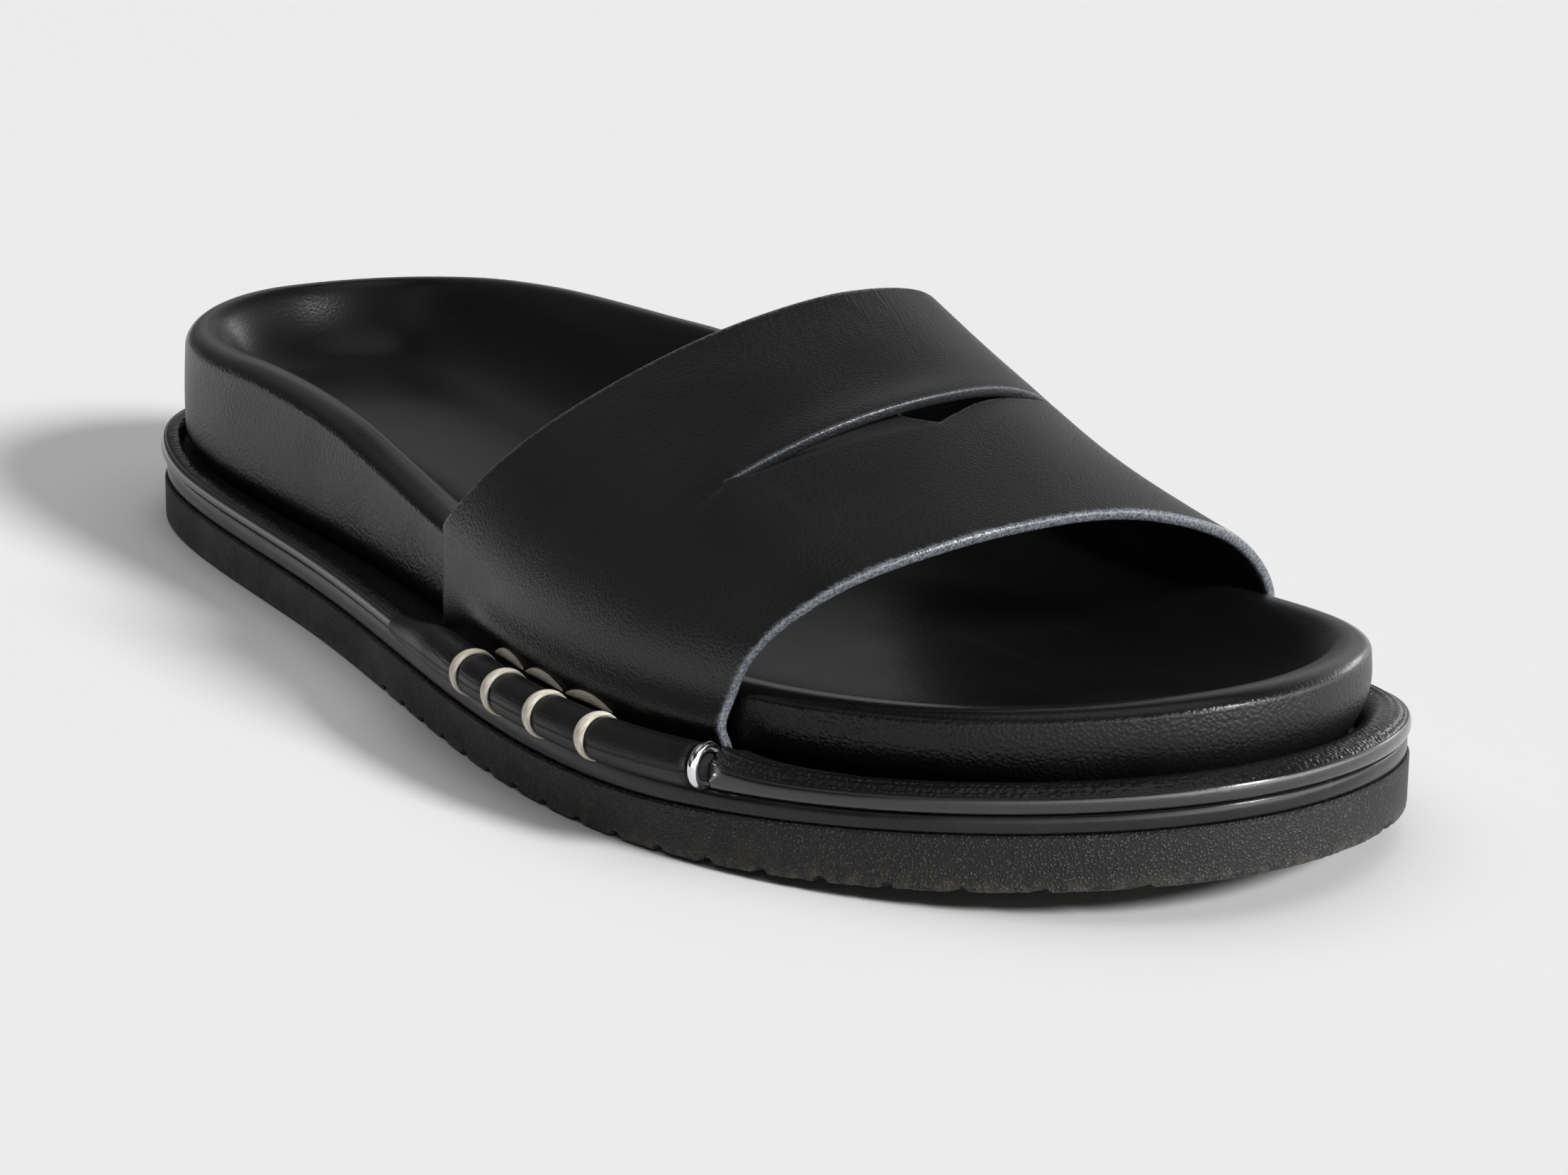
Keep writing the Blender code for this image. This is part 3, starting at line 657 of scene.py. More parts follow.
strapShape = {
    # rear edge, middle, front edge: feet, where they start to lean in, crown, fullness and lean of each half
    "names": ("lateralY", "medialY", "lateralZ", "medialZ", "crownX", "crownY", "crownZ", "lateralFull",
              "medialFull", "lateralLean", "medialLean"),
    "sections": ((0.2, -6.5, 29.0, 33.6, 8.5, -33.7, 66.5, 1.75, 2.66, 1.05, 1.23),
                 (-39.2, -45.1, 23.4, 26.2, 5.5, -63.0, 57.0, 2.08, 2.25, 1.27, 1.32),
                 (-78.6, -88.9, 21.0, 24.0, 2.1, -94.4, 47.1, 2.41, 1.88, 1.52, 1.40)),
    "thickness": 1.8,
    "footColumns": 18,
    "archColumns": (64, 210, 70),  # lateral of the slot, along it, medial of it
    "panelRows": 48,
    "rowDrift": 0.35,  # how much the rows crowd to the edges
    "runLength": 65.0,  # millimetres from the rear to the front edge over the crown
    "arcLength": 50.0,  # millimetres for one radian of the arch
    "slotStart": (0.545, 49.0),  # share of the way to the front edge, arch angle
    "slotEnd": (0.4846, 127.0),
    "slotRear": 0.3,
    # place along the slot, front lip ahead of the slot's middle line: tucked under, V, open curve
    "frontLip": ((0.0, 0.0), (0.02, -0.2), (0.06, -1.2), (0.15, -2.0), (0.2, -2.2), (0.426, -2.2),
                 (0.436, 1.0), (0.473, 5.2), (0.505, 4.0), (0.545, 2.8), (0.587, 1.95), (0.637, 1.45),
                 (0.683, 1.2), (0.775, 1.1), (0.865, 0.9), (0.95, 0.4), (1.0, 0.0)),
    "foldStart": 1.2,  # the fold before the tucked lip starts this far ahead and widens
    "foldGrow": 9.4,
    "foldBehind": 1.3,  # and is deepest this far behind the middle line
    "foldCurve": 1.05,
    "foldDepth": 1.9,
    "tucked": ((0.0, 0.1), (0.462, 0.482)),  # places along the slot where the fold fades in and out
    "opened": (0.45, 0.5),  # and where the open part of the front lip starts
    "rearLipRise": 1.1,
    "frontLipDip": 0.5,
    "lipReach": 5.0,
    "dipReach": 4.5,
    "edgeBulge": 0.8,
    "lipBulge": 0.35,
    "edgeColumns": 3.0,  # the bulges grow over this many columns from the feet and from the slot's ends
    "lipColumns": 6.0,
    "unevenness": 0.1,  # slow waves over the strap, with their lengths and slants
    "slowWaves": ((47.0, 31.0), (39.0, 27.0)),
    "slowSlant": (21.0, 17.0),
    "reliefFrom": (0.3, 1.0),  # shares of the feet's height over which all relief fades in
    "belly": 1.7,  # the feet swell out over the rolls
    "bellyHeight": 7.2,
    "bellySpread": 3.6,
    "bellyFrom": (0.0, 0.3),
    # painted highlight in the edge paint's colour on the face along the rear lip and in the front lip's V:
    # amount, where it fades in and out
    "lipHighlight": ((0.22, (0.0, 0.1), (0.9, 1.0)), (0.7, (0.425, 0.435), (0.472, 0.48))),
    # looks
    "gloss": 0.5,
    "rough": (0.34, 0.43),
    "leather": ((0.004, 0.004, 0.004, 1), (0.0062, 0.0061, 0.0059, 1)),
    "rubbed": (0.015, 0.015, 0.015, 1),
    "lining": (0.006, 0.0058, 0.0056, 1),
    # blue-grey edge paint, pale enough to be a painted highlight along the edges as well
    "edgePaintWithHighlight": ((0.07, 0.075, 0.087, 1), (0.22, 0.233, 0.262, 1)),
}
# the rounded edge from the outer to the inner face: depth in thicknesses, bulge, edge paint on the open
# edges, edge paint in the slot, palest at the outer corner as a painted highlight
strapEdge = (
    (0.0, 0.0, 0.3, 0.2), (0.04, 0.55, 0.9, 0.3), (0.16, 0.86, 1.0, 0.14), (0.33, 0.97, 1.0, 0.1),
    (0.5, 1.0, 1.0, 0.1), (0.67, 0.97, 1.0, 0.1), (0.84, 0.86, 1.0, 0.08), (0.96, 0.55, 0.8, 0.05),
    (1.0, 0.0, 0.4, 0.05),
)
# listed soft troughs: share and angle of both ends, half width and depth in millimetres
strapCreases = (
    (0.545, 50.0, 0.575, 39.0, 0.5, 0.17),
    (0.538, 49.0, 0.552, 38.0, 0.45, 0.14),
    (0.548, 48.5, 0.600, 40.0, 0.45, 0.12),
    (0.532, 48.0, 0.528, 40.0, 0.45, 0.1),
    (0.565, 53.0, 0.605, 47.0, 0.45, 0.1),
    (0.570, 57.0, 0.603, 51.0, 0.45, 0.1),
    (0.575, 61.0, 0.602, 55.5, 0.45, 0.08),
    (0.485, 127.0, 0.470, 137.0, 0.9, 0.14),
    (0.02, 60.0, 0.20, 66.0, 1.6, 0.04),
    (0.02, 84.0, 0.22, 90.0, 1.5, 0.04),
)
creaseEnds = ((-0.05, 0.25), (0.6, 1.1))  # shares of a crease's length over which it fades in and out


def strapValues(u):
    # quadratic through the three sections
    w = np.stack([(1 - u) * (1 - 2 * u), 4 * u * (1 - u), u * (2 * u - 1)], axis=-1)
    return dict(zip(strapShape["names"], np.moveaxis(w @ np.array(strapShape["sections"]), -1, 0)))


def strapFoot(side, y):
    # x of the outer face and height of the lower end
    inset = wallInset(outline["points"][:, 1]) - lastShape["clearance"] - strapShape["thickness"]
    return outlineX(side, inset, y), soleBottom(y) + lastShape["midsoleTop"] + lastShape["clearance"]


def strapSwell(u, above):
    # how far the foot swells out, by the height above its lower end
    bell = np.exp(-((above - strapShape["bellyHeight"]) / strapShape["bellySpread"]) ** 2)
    return strapShape["belly"] * bell * softStep(*strapShape["bellyFrom"], u)


def strapSurface(u, angle, footShare):
    # half a superellipse from each foot to the crown; below the parting height the feet stand upright
    v = strapValues(u)
    halves = []
    for side, outward in (("lateral", -1.0), ("medial", 1.0)):
        footY = v[side + "Y"]
        footX, low = strapFoot(side, footY)
        high = soleBottom(footY) + v[side + "Z"]
        power = 2.0 / v[side + "Full"]
        rise = np.abs(np.sin(angle)) ** power
        x = v["crownX"] + (footX - v["crownX"]) * np.abs(np.cos(angle)) ** power
        y = footY + (v["crownY"] - footY) * rise ** v[side + "Lean"]
        z = high + (v["crownZ"] - high) * rise
        z = low + (z - low) * footShare
        halves.append(np.stack([x + outward * strapSwell(u, z - low), y, z], axis=-1))
    return np.where((angle <= math.pi / 2.0)[..., None], halves[0], halves[1])


def strapColumns():
    # angles and foot shares of all columns, with the slot's ends on columns
    shape = strapShape
    a, b = math.radians(shape["slotStart"][1]), math.radians(shape["slotEnd"][1])
    n = shape["archColumns"]
    arch = np.concatenate([np.linspace(0.0, a, n[0] + 1)[:-1], np.linspace(a, b, n[1] + 1)[:-1],
                           np.linspace(b, math.pi, n[2] + 1)])
    feet = np.linspace(0.0, 1.0, shape["footColumns"] + 1)[:-1]
    angle = np.concatenate([0.0 * feet, arch, 0.0 * feet + math.pi])
    share = np.concatenate([feet, np.ones(len(arch)), feet[::-1]])
    first = len(feet) + n[0]
    return angle, share, first, first + n[1]


def slotLips(angle):
    # rear and front lip as shares of the way to the front edge; they meet outside the slot
    shape = strapShape
    (u0, a0), (u1, a1) = shape["slotStart"], shape["slotEnd"]
    q = np.clip((np.degrees(angle) - a0) / (a1 - a0), 0.0, 1.0)
    middle = u0 + (u1 - u0) * q
    lip = np.array(shape["frontLip"])
    rear = middle - shape["slotRear"] / shape["runLength"] * np.sin(math.pi * q)
    front = middle + np.interp(q, lip[:, 0], lip[:, 1]) / shape["runLength"]
    return rear, front, middle, q


def strapRelief(u, angle, rear, middle, q, behind):
    # millimetres along the normal: lips, fold, listed creases and a slow unevenness
    shape = strapShape
    run, arc = shape["runLength"], shape["arcLength"]
    swell = np.sin(math.pi * q)
    if behind:
        relief = shape["rearLipRise"] * swell * np.exp(-((rear - u) * run / shape["lipReach"]) ** 2)
    else:
        ahead = (u - middle) * run
        start = shape["foldStart"] + shape["foldGrow"] * q
        fold = np.clip((start - ahead) / (start + shape["foldBehind"]), 0.0, 1.0) ** shape["foldCurve"]
        opened = softStep(*shape["opened"], q) * swell
        dip = opened * np.exp(-(np.maximum(ahead, 0.0) / shape["dipReach"]) ** 2)
        relief = -shape["foldDepth"] * fold * between(*shape["tucked"], q) - shape["frontLipDip"] * dip
    px, py = u * run, angle * arc
    for ua, aa, ub, ab, width, depth in strapCreases:
        ax, ay, bx, by = ua * run, math.radians(aa) * arc, ub * run, math.radians(ab) * arc
        length = math.hypot(bx - ax, by - ay)
        t = ((px - ax) * (bx - ax) + (py - ay) * (by - ay)) / length ** 2
        off = np.abs((px - ax) * (by - ay) - (py - ay) * (bx - ax)) / length
        relief = relief - depth * between(*creaseEnds, t) * np.exp(-(off / width) ** 2)
    (alongWaves, acrossWaves), (alongSlant, acrossSlant) = shape["slowWaves"], shape["slowSlant"]
    slow = ripple(px + angle * alongSlant, alongWaves, seed=5)
    slow = slow + ripple(py - u * acrossSlant, acrossWaves, seed=6)
    return relief + shape["unevenness"] * slow


def strapFrame(u, angle, share, step=0.004):
    # points of the surface, their outward normals and their directions toward the front edge
    base = strapSurface(u, angle, share)
    ahead = strapSurface(u + step, angle, share) - strapSurface(u - step, angle, share)
    normal = unit(np.cross(np.gradient(base, axis=1), ahead))
    normal *= np.sign(normal[u.shape[0] // 2, u.shape[1] // 2, 2])
    ahead = unit(ahead - normal * (ahead * normal).sum(axis=-1, keepdims=True))
    return base, normal, ahead


def lipHighlight(q, size, behind):
    # painted highlight, in the edge paint's colour, on the face along a lip: the last row of the rear panel
    # or the first of the front one
    amount, fadeIn, fadeOut = strapShape["lipHighlight"][0 if behind else 1]
    pale = np.zeros(size)
    pale[-1 if behind else 0] = amount * between(fadeIn, fadeOut, q)
    return pale


def makeStrap():
    # a rear and a front panel that share a row outside the slot, an inner face one thickness below,
    # and rounded strips along the rear edge, front edge, slot and feet
    shape = strapShape
    angle, share, first, last = strapColumns()
    rear, front, middle, q = slotLips(angle)
    rows = np.linspace(0.0, 1.0, shape["panelRows"] + 1)[:, None]
    dense = rows - shape["rowDrift"] * np.sin(2.0 * math.pi * rows) / (2.0 * math.pi)
    shareGrid = np.broadcast_to(share, (len(rows), len(share)))
    angleGrid = np.broadcast_to(angle, shareGrid.shape)
    column = np.arange(len(angle))
    ends = softStep(0.0, shape["edgeColumns"], np.minimum(column, len(angle) - 1 - column))
    lips = np.clip(np.minimum(column - first, last - column) / shape["lipColumns"], 0.0, 1.0)
    depth, bulge, paint, slotPaintAndHighlight = np.array(strapEdge).T[..., None]
    down = shape["thickness"] * depth[..., None]
    sheets = []
    for behind in (True, False):
        u = rear[None] * dense if behind else front[None] + (1.0 - front[None]) * dense
        base, normal, ahead = strapFrame(u, angleGrid, shareGrid)
        relief = strapRelief(u, angleGrid, rear, middle, q, behind)
        outer = base + normal * (relief * softStep(*shape["reliefFrom"], shareGrid))[..., None]
        inner = outer - normal * shape["thickness"]
        places = {"acrossStrap": angleGrid * shape["arcLength"], "alongStrap": u * shape["runLength"]}
        # the face's row along each lip carries a painted highlight
        sheets.append((outer, False, dict(places, lining=0.0, edge=lipHighlight(q, u.shape, behind))))
        sheets.append((inner, False, dict(places, lining=1.0)))
        for row, way in ((0, -1.0), (-1, 1.0)):
            atEdge = (row == 0) == behind
            fade = ends * shape["edgeBulge"] if atEdge else lips * shape["lipBulge"]
            strip = outer[row] + way * ahead[row] * (bulge * fade)[..., None] - normal[row] * down
            cols = slice(None) if atEdge else slice(first, last + 1)
            # in the slot the paint is palest at the outer corner, a painted highlight
            sheets.append((strip[:, cols], False, {"edge": paint if atEdge else slotPaintAndHighlight}))
        for foot in (0, -1):
            sheets.append((outer[:, foot] - normal[:, foot] * down, False, {"edge": 1.0}))
    return makePiece("strapUpper", sheets, sharp=55.0)


def strapMaterial():
    # fine grain, faint stretch lines behind the slot, daubed blue-grey paint on the cut edges, pale enough to
    # add a painted highlight along them
    look = strapShape
    material, n, surface, where = newMaterial("strapLeather", Specular_IOR_Level=look["gloss"])
    grain = n.group(leatherGrain, Vector=where, Pebble=0.45, Depth=0.035, Pores=0.016)
    marks = n.group(handling, Vector=where, Patch=18.0, Streak=240.0)
    edge, across, along = n.mark("edge"), n.mark("acrossStrap"), n.mark("alongStrap")
    slanted = n.add("ShaderNodeCombineXYZ", X=n.math("MULTIPLY_ADD", along, 0.2, across),
                    Y=n.math("MULTIPLY", along, 0.08))
    lines = n.noise(slanted.outputs[0], 1.7, 1.0, 0.55)
    crown = n.math("MULTIPLY", n.ramp(across, 38.0, 60.0), n.ramp(across, 96.0, 116.0, 1.0, 0.0))
    stretched = n.math("MULTIPLY", crown, n.ramp(along, 4.0, 30.0, 1.0, 0.0))
    daub = n.noise(where, 2400.0, 2.0, 0.65)
    colour = n.mix(marks["Cloud"], *look["leather"])
    colour = n.tint(colour, marks["Rubs"], 0.25, look["rubbed"])
    colour = n.tint(colour, n.mark("lining"), 0.6, look["lining"])
    # edge paint and painted highlight: the cut edges and lips take the pale blue-grey colour
    colour = n.mix(edge, colour, n.mix(n.ramp(daub, 0.35, 0.65), *look["edgePaintWithHighlight"]))
    rough = n.math("MULTIPLY_ADD", edge, -0.18, n.ramp(marks["Cloud"], 0.0, 1.0, *look["rough"]))
    height = n.math("MULTIPLY_ADD", n.math("MULTIPLY", lines, stretched), 0.11, grain["Height"])
    height = n.math("MULTIPLY_ADD", n.math("MULTIPLY", daub, edge), 0.03, height)
    dress(n, surface, colour, rough, height)
    return material


settle(makeStrap(), strapMaterial(), "strap_leather", "upper")


# welts: grooved strip on the sole's margin, in a rear and a front run

weltShape = {
    # profile: distance in from the outline, height over the midsole
    # under: distance past the wall, height over the midsole, under the wall's foot
    # bead, shelf: distances over which the polished bead ends and the inner shelf, painted near black as
    # shade, starts
    "weltRear": {
        "profile": ((0.45, -0.05), (0.1, 0.12), (-0.3, 0.45), (-0.5, 1.0), (-0.44, 1.6), (-0.2, 2.1),
                    (0.12, 2.34), (0.36, 2.32), (0.5, 2.2), (0.66, 2.34), (1.1, 2.5), (1.9, 2.58),
                    (2.5, 2.48), (2.85, 2.1), (3.02, 1.5), (3.2, 0.9), (3.7, 0.7)),
        "under": ((1.9, 0.6), (1.9, 0.0)),
        "bead": (0.3, 0.7),
        "shelf": (2.8, 3.3),
    },
    "weltFront": {
        "profile": ((0.9, -0.05), (0.45, 0.15), (0.12, 0.6), (0.0, 1.2), (0.02, 1.8), (0.18, 2.35),
                    (0.42, 2.62), (0.6, 2.6), (0.85, 2.8), (1.4, 3.1), (2.2, 3.45), (3.2, 3.65),
                    (4.2, 3.55), (5.0, 3.25)),
        "under": ((0.5, 2.3), (1.4, 0.8), (1.4, 0.0)),
        "bead": (0.4, 0.8),
        "shelf": (4.6, 6.0),
    },
    "profileCount": 56,
    "steps": 560,
    "wallOverlap": 0.3,  # the profile ends this far before its underside does
    "ringOverlap": 0.25,
    "heelRise": 0.8,  # the rear welt stands this much taller round the heel
    "heelFrom": (98.0, 134.0),
    "ringRise": 0.5,  # the front welt stands this much taller at the rings
    "ringRiseLength": 5.0,
    "drawDepth": 0.42,  # fine lines drawn in beside the rings
    "drawLength": 20.0,
    "drawStart": 0.9,
    "drawPitch": 1.25,
    "drawRidge": 0.4,  # share of the depth that may stand up between them
    "drawn": ((0.8, 1.2), (4.6, 5.2)),
    # looks
    "gloss": 0.5,
    "coat": 0.6,
    "coatRough": 0.16,
    "rough": (0.27, 0.28),  # on the top, on the bead
    "leather": ((0.0045, 0.0045, 0.0045, 1), (0.007, 0.0069, 0.0067, 1)),
    # colour of the painted shade in the grain's valleys
    "valleyShade": (0.004, 0.004, 0.004, 1),
    # near black colour of the painted shade on the inner shelf
    "shelfShade": (0.002, 0.002, 0.002, 1),
}
rollShape = {
    "runs": {"lateral": (4.3, -81.0), "medial": (-2.4, -90.8)},  # rear end, front end
    "lift": 0.05,  # over the midsole
    "radius": 3.3,
    "rearTaper": 0.58,
    "taperLength": 20.0,
    "rearRound": 0.9,
    "frontRound": 1.3,
    "neck": 1.95,  # radius of the part that runs through the ring
    "neckLength": 1.7,
    "pressSpread": 1.5,
    "around": 44,
    "steps": 260,
    "rearRows": (1.2, 10),  # length and count of the rows that are added at the ends
    "frontRows": (1.6, 14),
    "neckRows": 8,
    "ringRadius": 2.7,
    "ringWire": 0.8,
    "ringWide": 1.0,  # the wire's width along the roll over its thickness
    "ringSteps": 72,
    "wireSteps": 24,
    # looks
    "gloss": 0.38,
    "rough": (0.36, 0.48),
    "leather": ((0.0045, 0.0045, 0.0045, 1), (0.007, 0.0069, 0.0066, 1)),
    "rubbed": (0.04, 0.04, 0.038, 1),
    "chrome": ((0.7, 0.7, 0.72, 1), (0.84, 0.84, 0.85, 1)),
    "chromeRough": (0.07, 0.16),
}


def ringReach():
    return 2.0 * (rollShape["ringWire"] + lastShape["clearance"])


def weltRuns():
    # start and end of each welt along the outline, from one roll to the other
    total, gap = outline["arc"][-1], lastShape["clearance"]
    reach = ringReach() - weltShape["ringOverlap"]
    rear, front = ({side: arcAt(side, run[k]) for side, run in rollShape["runs"].items()} for k in (0, 1))
    return {
        "weltRear": (rear["medial"] + gap - total, rear["lateral"] - gap),
        "weltFront": (front["lateral"] + reach, front["medial"] - reach),
    }


def makeWelt(name, start, end):
    # smooth section carried along the outline, with square ends; the rear one rises round the heel,
    # the front one at the rings, where fine lines are drawn into it
    shape, section = weltShape, weltShape[name]
    s = np.linspace(start, end, shape["steps"] + 1)
    fromEnd = np.minimum(s - start, end - s)[:, None]
    place, _, inward = outlineAt(s)
    y = place[:, 1]
    wall = wallInset(y)[:, None]
    top, under = smoothProfile(section["profile"], shape["profileCount"]), np.array(section["under"])
    limit = np.maximum(wall + under[0, 0] - shape["wallOverlap"], top[-1, 0])
    across = np.hstack([np.minimum(top[:, 0], limit), wall + under[:, 0]])
    height = np.concatenate([top[:, 1], under[:, 1]])
    if name == "weltRear":
        height = height * (1.0 + shape["heelRise"] * softStep(*shape["heelFrom"], y)[:, None])
    else:
        lines = np.sin(2.0 * math.pi * (across - shape["drawStart"]) / shape["drawPitch"])
        lines = np.clip(lines * between(*shape["drawn"], across), -shape["drawRidge"], 1.0)
        height = height * (1.0 + shape["ringRise"] * np.exp(-fromEnd / shape["ringRiseLength"]))
        height = height - shape["drawDepth"] * np.exp(-fromEnd / shape["drawLength"]) * lines
    xy = place[:, None] + unit(inward)[:, None] * across[..., None]
    body = raised(xy, (soleBottom(y) + lastShape["midsoleTop"])[:, None] + height)
    bead = 1.0 - softStep(*section["bead"], across)
    shelf = softStep(*section["shelf"], across)
    return makePiece(name, [closeEnds(body, bead=bead, shelf=shelf)], sharp=50.0)


def weltMaterial():
    # smooth polished bead outside, pebbled top with painted shade in its valleys, inner shelf painted near
    # black as shade
    look = weltShape
    material, n, surface, where = newMaterial("weltLeather", Specular_IOR_Level=look["gloss"],
                                              Coat_Roughness=look["coatRough"])
    bead, shelf = n.mark("bead"), n.mark("shelf")
    depth = n.ramp(bead, 0.0, 1.0, 0.1, 0.012)
    grain = n.group(leatherGrain, Vector=where, Pebble=0.8, Depth=depth, Pores=0.02)
    marks = n.group(handling, Vector=where, Patch=35.0, Streak=300.0)
    colour = n.mix(marks["Cloud"], *look["leather"])
    # painted shade: the grain's valleys off the bead are coloured darker
    colour = n.tint(colour, grain["ShadedValleys"], n.ramp(bead, 0.0, 1.0, 0.45, 0.0), look["valleyShade"])
    # painted shade: the inner shelf under the wall is coloured near black
    colour = n.mix(shelf, colour, look["shelfShade"])
    rough = n.math("MULTIPLY_ADD", shelf, 0.4, n.ramp(bead, 0.0, 1.0, *look["rough"]))
    dress(n, surface, colour, rough, grain["Height"], n.math("MULTIPLY", bead, look["coat"]))
    return material


weltLook = weltMaterial()
for weltName, weltNode in (("weltRear", "welt_rear"), ("weltFront", "welt_front")):
    settle(makeWelt(weltName, *weltRuns()[weltName]), weltLook, "welt_leather", weltNode)


# rolls: leather tubes along the strap's feet, pressed in a little by the cord, with a neck through the ring

cordShape = {
    "lateral": (-26.5, -37.0, -49.0, -61.4),  # places of the wraps along y
    "medial": (-33.0, -44.0, -56.0, -69.0),
    "width": 2.1,
    "thick": 0.8,
    "press": 0.25,
    "rideOut": 0.42,  # the cord's middle lies this share of its thickness over the pressed roll
    "start": 146.0,  # degrees over the roll: 90 is the top, 0 the outer side
    "end": -72.0,
    "leanFrom": 0.55,  # from this share of a wrap both its ends swing aside
    "lean": 4.6,
    "endWidth": 0.3,  # shares that are left at a wrap's ends, and where it fades in and out
    "endThick": 0.4,
    "widthFades": ((-0.1, 0.5), (0.6, 1.05)),
    "thickFades": ((0.0, 0.2), (0.8, 1.0)),
    "steps": 72,
    "around": 24,
    "legWidth": 1.5,
    "legLow": 4.7,  # legs: height of their ends and rise of their middle over the strap's lower end
    "legRise": 1.0,
    "legOut": 0.35,
    "legShift": 2.4,  # they start this far behind a wrap and span this share of the way to the next
    "legSpan": 0.92,
    "legEnds": (0.2, 0.5),  # shares of width and thickness that are left at a leg's ends
    "legTip": 1.02,  # the width runs out a little before the far end
    "legFull": 0.7,
    "legFace": (0.9, 0.1),  # outward and upward lean of a leg's flat face
    "legSteps": 40,
    # looks
    "gloss": 0.4,
    "rough": (0.6, 0.45),
    "cream": ((0.52, 0.46, 0.35, 1), (0.92, 0.88, 0.77, 1)),
    "soiled": (0.6, 0.53, 0.41, 1),
}


def rollPath(s, radius):
    # middle line over the midsole's edge, its direction and its outward normal
    place, along, inward = outlineAt(s)
    z = soleBottom(place[..., 1]) + lastShape["midsoleTop"] + rollShape["lift"] + radius
    return raised(place, z), raised(unit(along), 0.0 * z), raised(-unit(inward), 0.0 * z)


def rollRadius(side, s):
    # full radius, eased in from the roll's rear end
    fromRear = np.abs(s - arcAt(side, rollShape["runs"][side][0]))
    taper = rollShape["rearTaper"]
    return rollShape["radius"] * (taper + (1.0 - taper) * softStep(0.0, rollShape["taperLength"], fromRear))


def makeRoll(side):
    # round section; the radius eases in at the rear, dips under each wrap and drops to the neck in front
    shape = rollShape
    start, end = (arcAt(side, y) for y in shape["runs"][side])
    way, length = np.sign(end - start), abs(end - start)
    t = np.sort(np.concatenate([
        np.linspace(0.0, length, shape["steps"]), np.linspace(0.0, *shape["rearRows"])[1:],
        length - np.linspace(0.0, *shape["frontRows"])[1:],
        length + np.linspace(0.0, shape["neckLength"], shape["neckRows"])[1:]]))
    full = rollRadius(side, start + way * t)
    radius = full
    for y in cordShape[side]:
        fromWrap = t - abs(arcAt(side, y) - start)
        radius = radius - cordShape["press"] * np.exp(-(fromWrap / shape["pressSpread"]) ** 2)
    toFront = 1.0 - np.clip((length - t) / shape["frontRound"], 0.0, 1.0)
    toRear = 1.0 - np.clip(t / shape["rearRound"], 0.0, 1.0)
    radius = shape["neck"] + (radius - shape["neck"]) * np.sqrt(1.0 - toFront ** 2)
    radius = radius * np.sqrt(1.0 - toRear ** 2 / 2.0)
    path, _, out = rollPath(start + way * t, full)
    turn = np.linspace(0.0, 2.0 * math.pi, shape["around"], endpoint=False)
    circle = np.stack([np.cos(turn), np.sin(turn)], axis=-1)[None] * radius[:, None, None]
    grid = sweep(path, out, np.broadcast_to(upward, path.shape), circle)
    tube = closeEnds(grid, alongRoll=t[:, None], aroundRoll=turn[None] * shape["radius"])
    return makePiece("roll" + side.capitalize(), [tube], sharp=50.0)


def rollMaterial():
    # fine grain drawn out along the tube
    look = rollShape
    material, n, surface, where = newMaterial("rollLeather", Specular_IOR_Level=look["gloss"])
    marks = n.group(handling, Vector=where, Patch=60.0, Streak=380.0)
    place = n.add("ShaderNodeCombineXYZ", X=n.math("MULTIPLY", n.mark("alongRoll"), 0.12),
                  Y=n.mark("aroundRoll"))
    draws = n.noise(place.outputs[0], 2.4, 1.0)
    pores = n.noise(where, 1900.0, 1.0)
    colour = n.mix(marks["Cloud"], *look["leather"])
    colour = n.tint(colour, marks["Rubs"], 0.35, look["rubbed"])
    height = n.math("MULTIPLY_ADD", pores, 0.05, n.math("MULTIPLY", draws, 0.07))
    dress(n, surface, colour, n.ramp(marks["Cloud"], 0.0, 1.0, *look["rough"]), height)
    return material


rollLook = rollMaterial()
for sideName in ("lateral", "medial"):
    settle(makeRoll(sideName), rollLook, "roll_leather", "roll_" + sideName)


# rings: polished wire rings where roll and front welt meet

def makeRing(side):
    # circle of wire standing across the roll's path
    shape = rollShape
    way = 1.0 if side == "lateral" else -1.0
    s = arcAt(side, shape["runs"][side][1]) + way * ringReach() / 2.0
    centre, along, out = rollPath(np.array(s), shape["ringRadius"] + shape["ringWire"])
    turn = np.linspace(0.0, 2.0 * math.pi, shape["ringSteps"], endpoint=False)[:, None, None]
    wire = np.linspace(0.0, 2.0 * math.pi, shape["wireSteps"] + 1)[None, :, None]
    radial = out * np.cos(turn) + upward * np.sin(turn)
    grid = centre + radial * (shape["ringRadius"] + shape["ringWire"] * np.cos(wire))
    grid = grid + along * shape["ringWire"] * shape["ringWide"] * np.sin(wire)
    closed = np.concatenate([grid, grid[:1]])
    return makePiece("ring" + side.capitalize(), [(closed, False, {})], sharp=80.0)


def ringMaterial():
    material, n, surface, where = newMaterial("polishedChrome", Metallic=1.0)
    cloud = n.noise(where, 500.0, 1.0)
    rough = n.ramp(cloud, 0.3, 0.7, *rollShape["chromeRough"])
    dress(n, surface, n.mix(cloud, *rollShape["chrome"]), rough)
    return material


ringLook = ringMaterial()
for sideName in ("lateral", "medial"):
    settle(makeRing(sideName), ringLook, "ring_metal", "ring_" + sideName)


# whip stitches: flat waxed cord, four wraps round each roll and three legs on the strap between them

def cordSheet(path, across, up, wide, thick):
    # flat oval section along a path, closed at both ends
    turn = np.linspace(0.0, 2.0 * math.pi, cordShape["around"], endpoint=False)
    oval = np.stack([np.cos(turn) * wide[:, None], np.sin(turn) * thick[:, None]], axis=-1) / 2.0
    along = np.concatenate([[0.0], np.cumsum(np.linalg.norm(np.diff(path, axis=0), axis=1))])
    return closeEnds(sweep(path, across, up, oval), alongCord=along[:, None], aroundCord=turn[None])


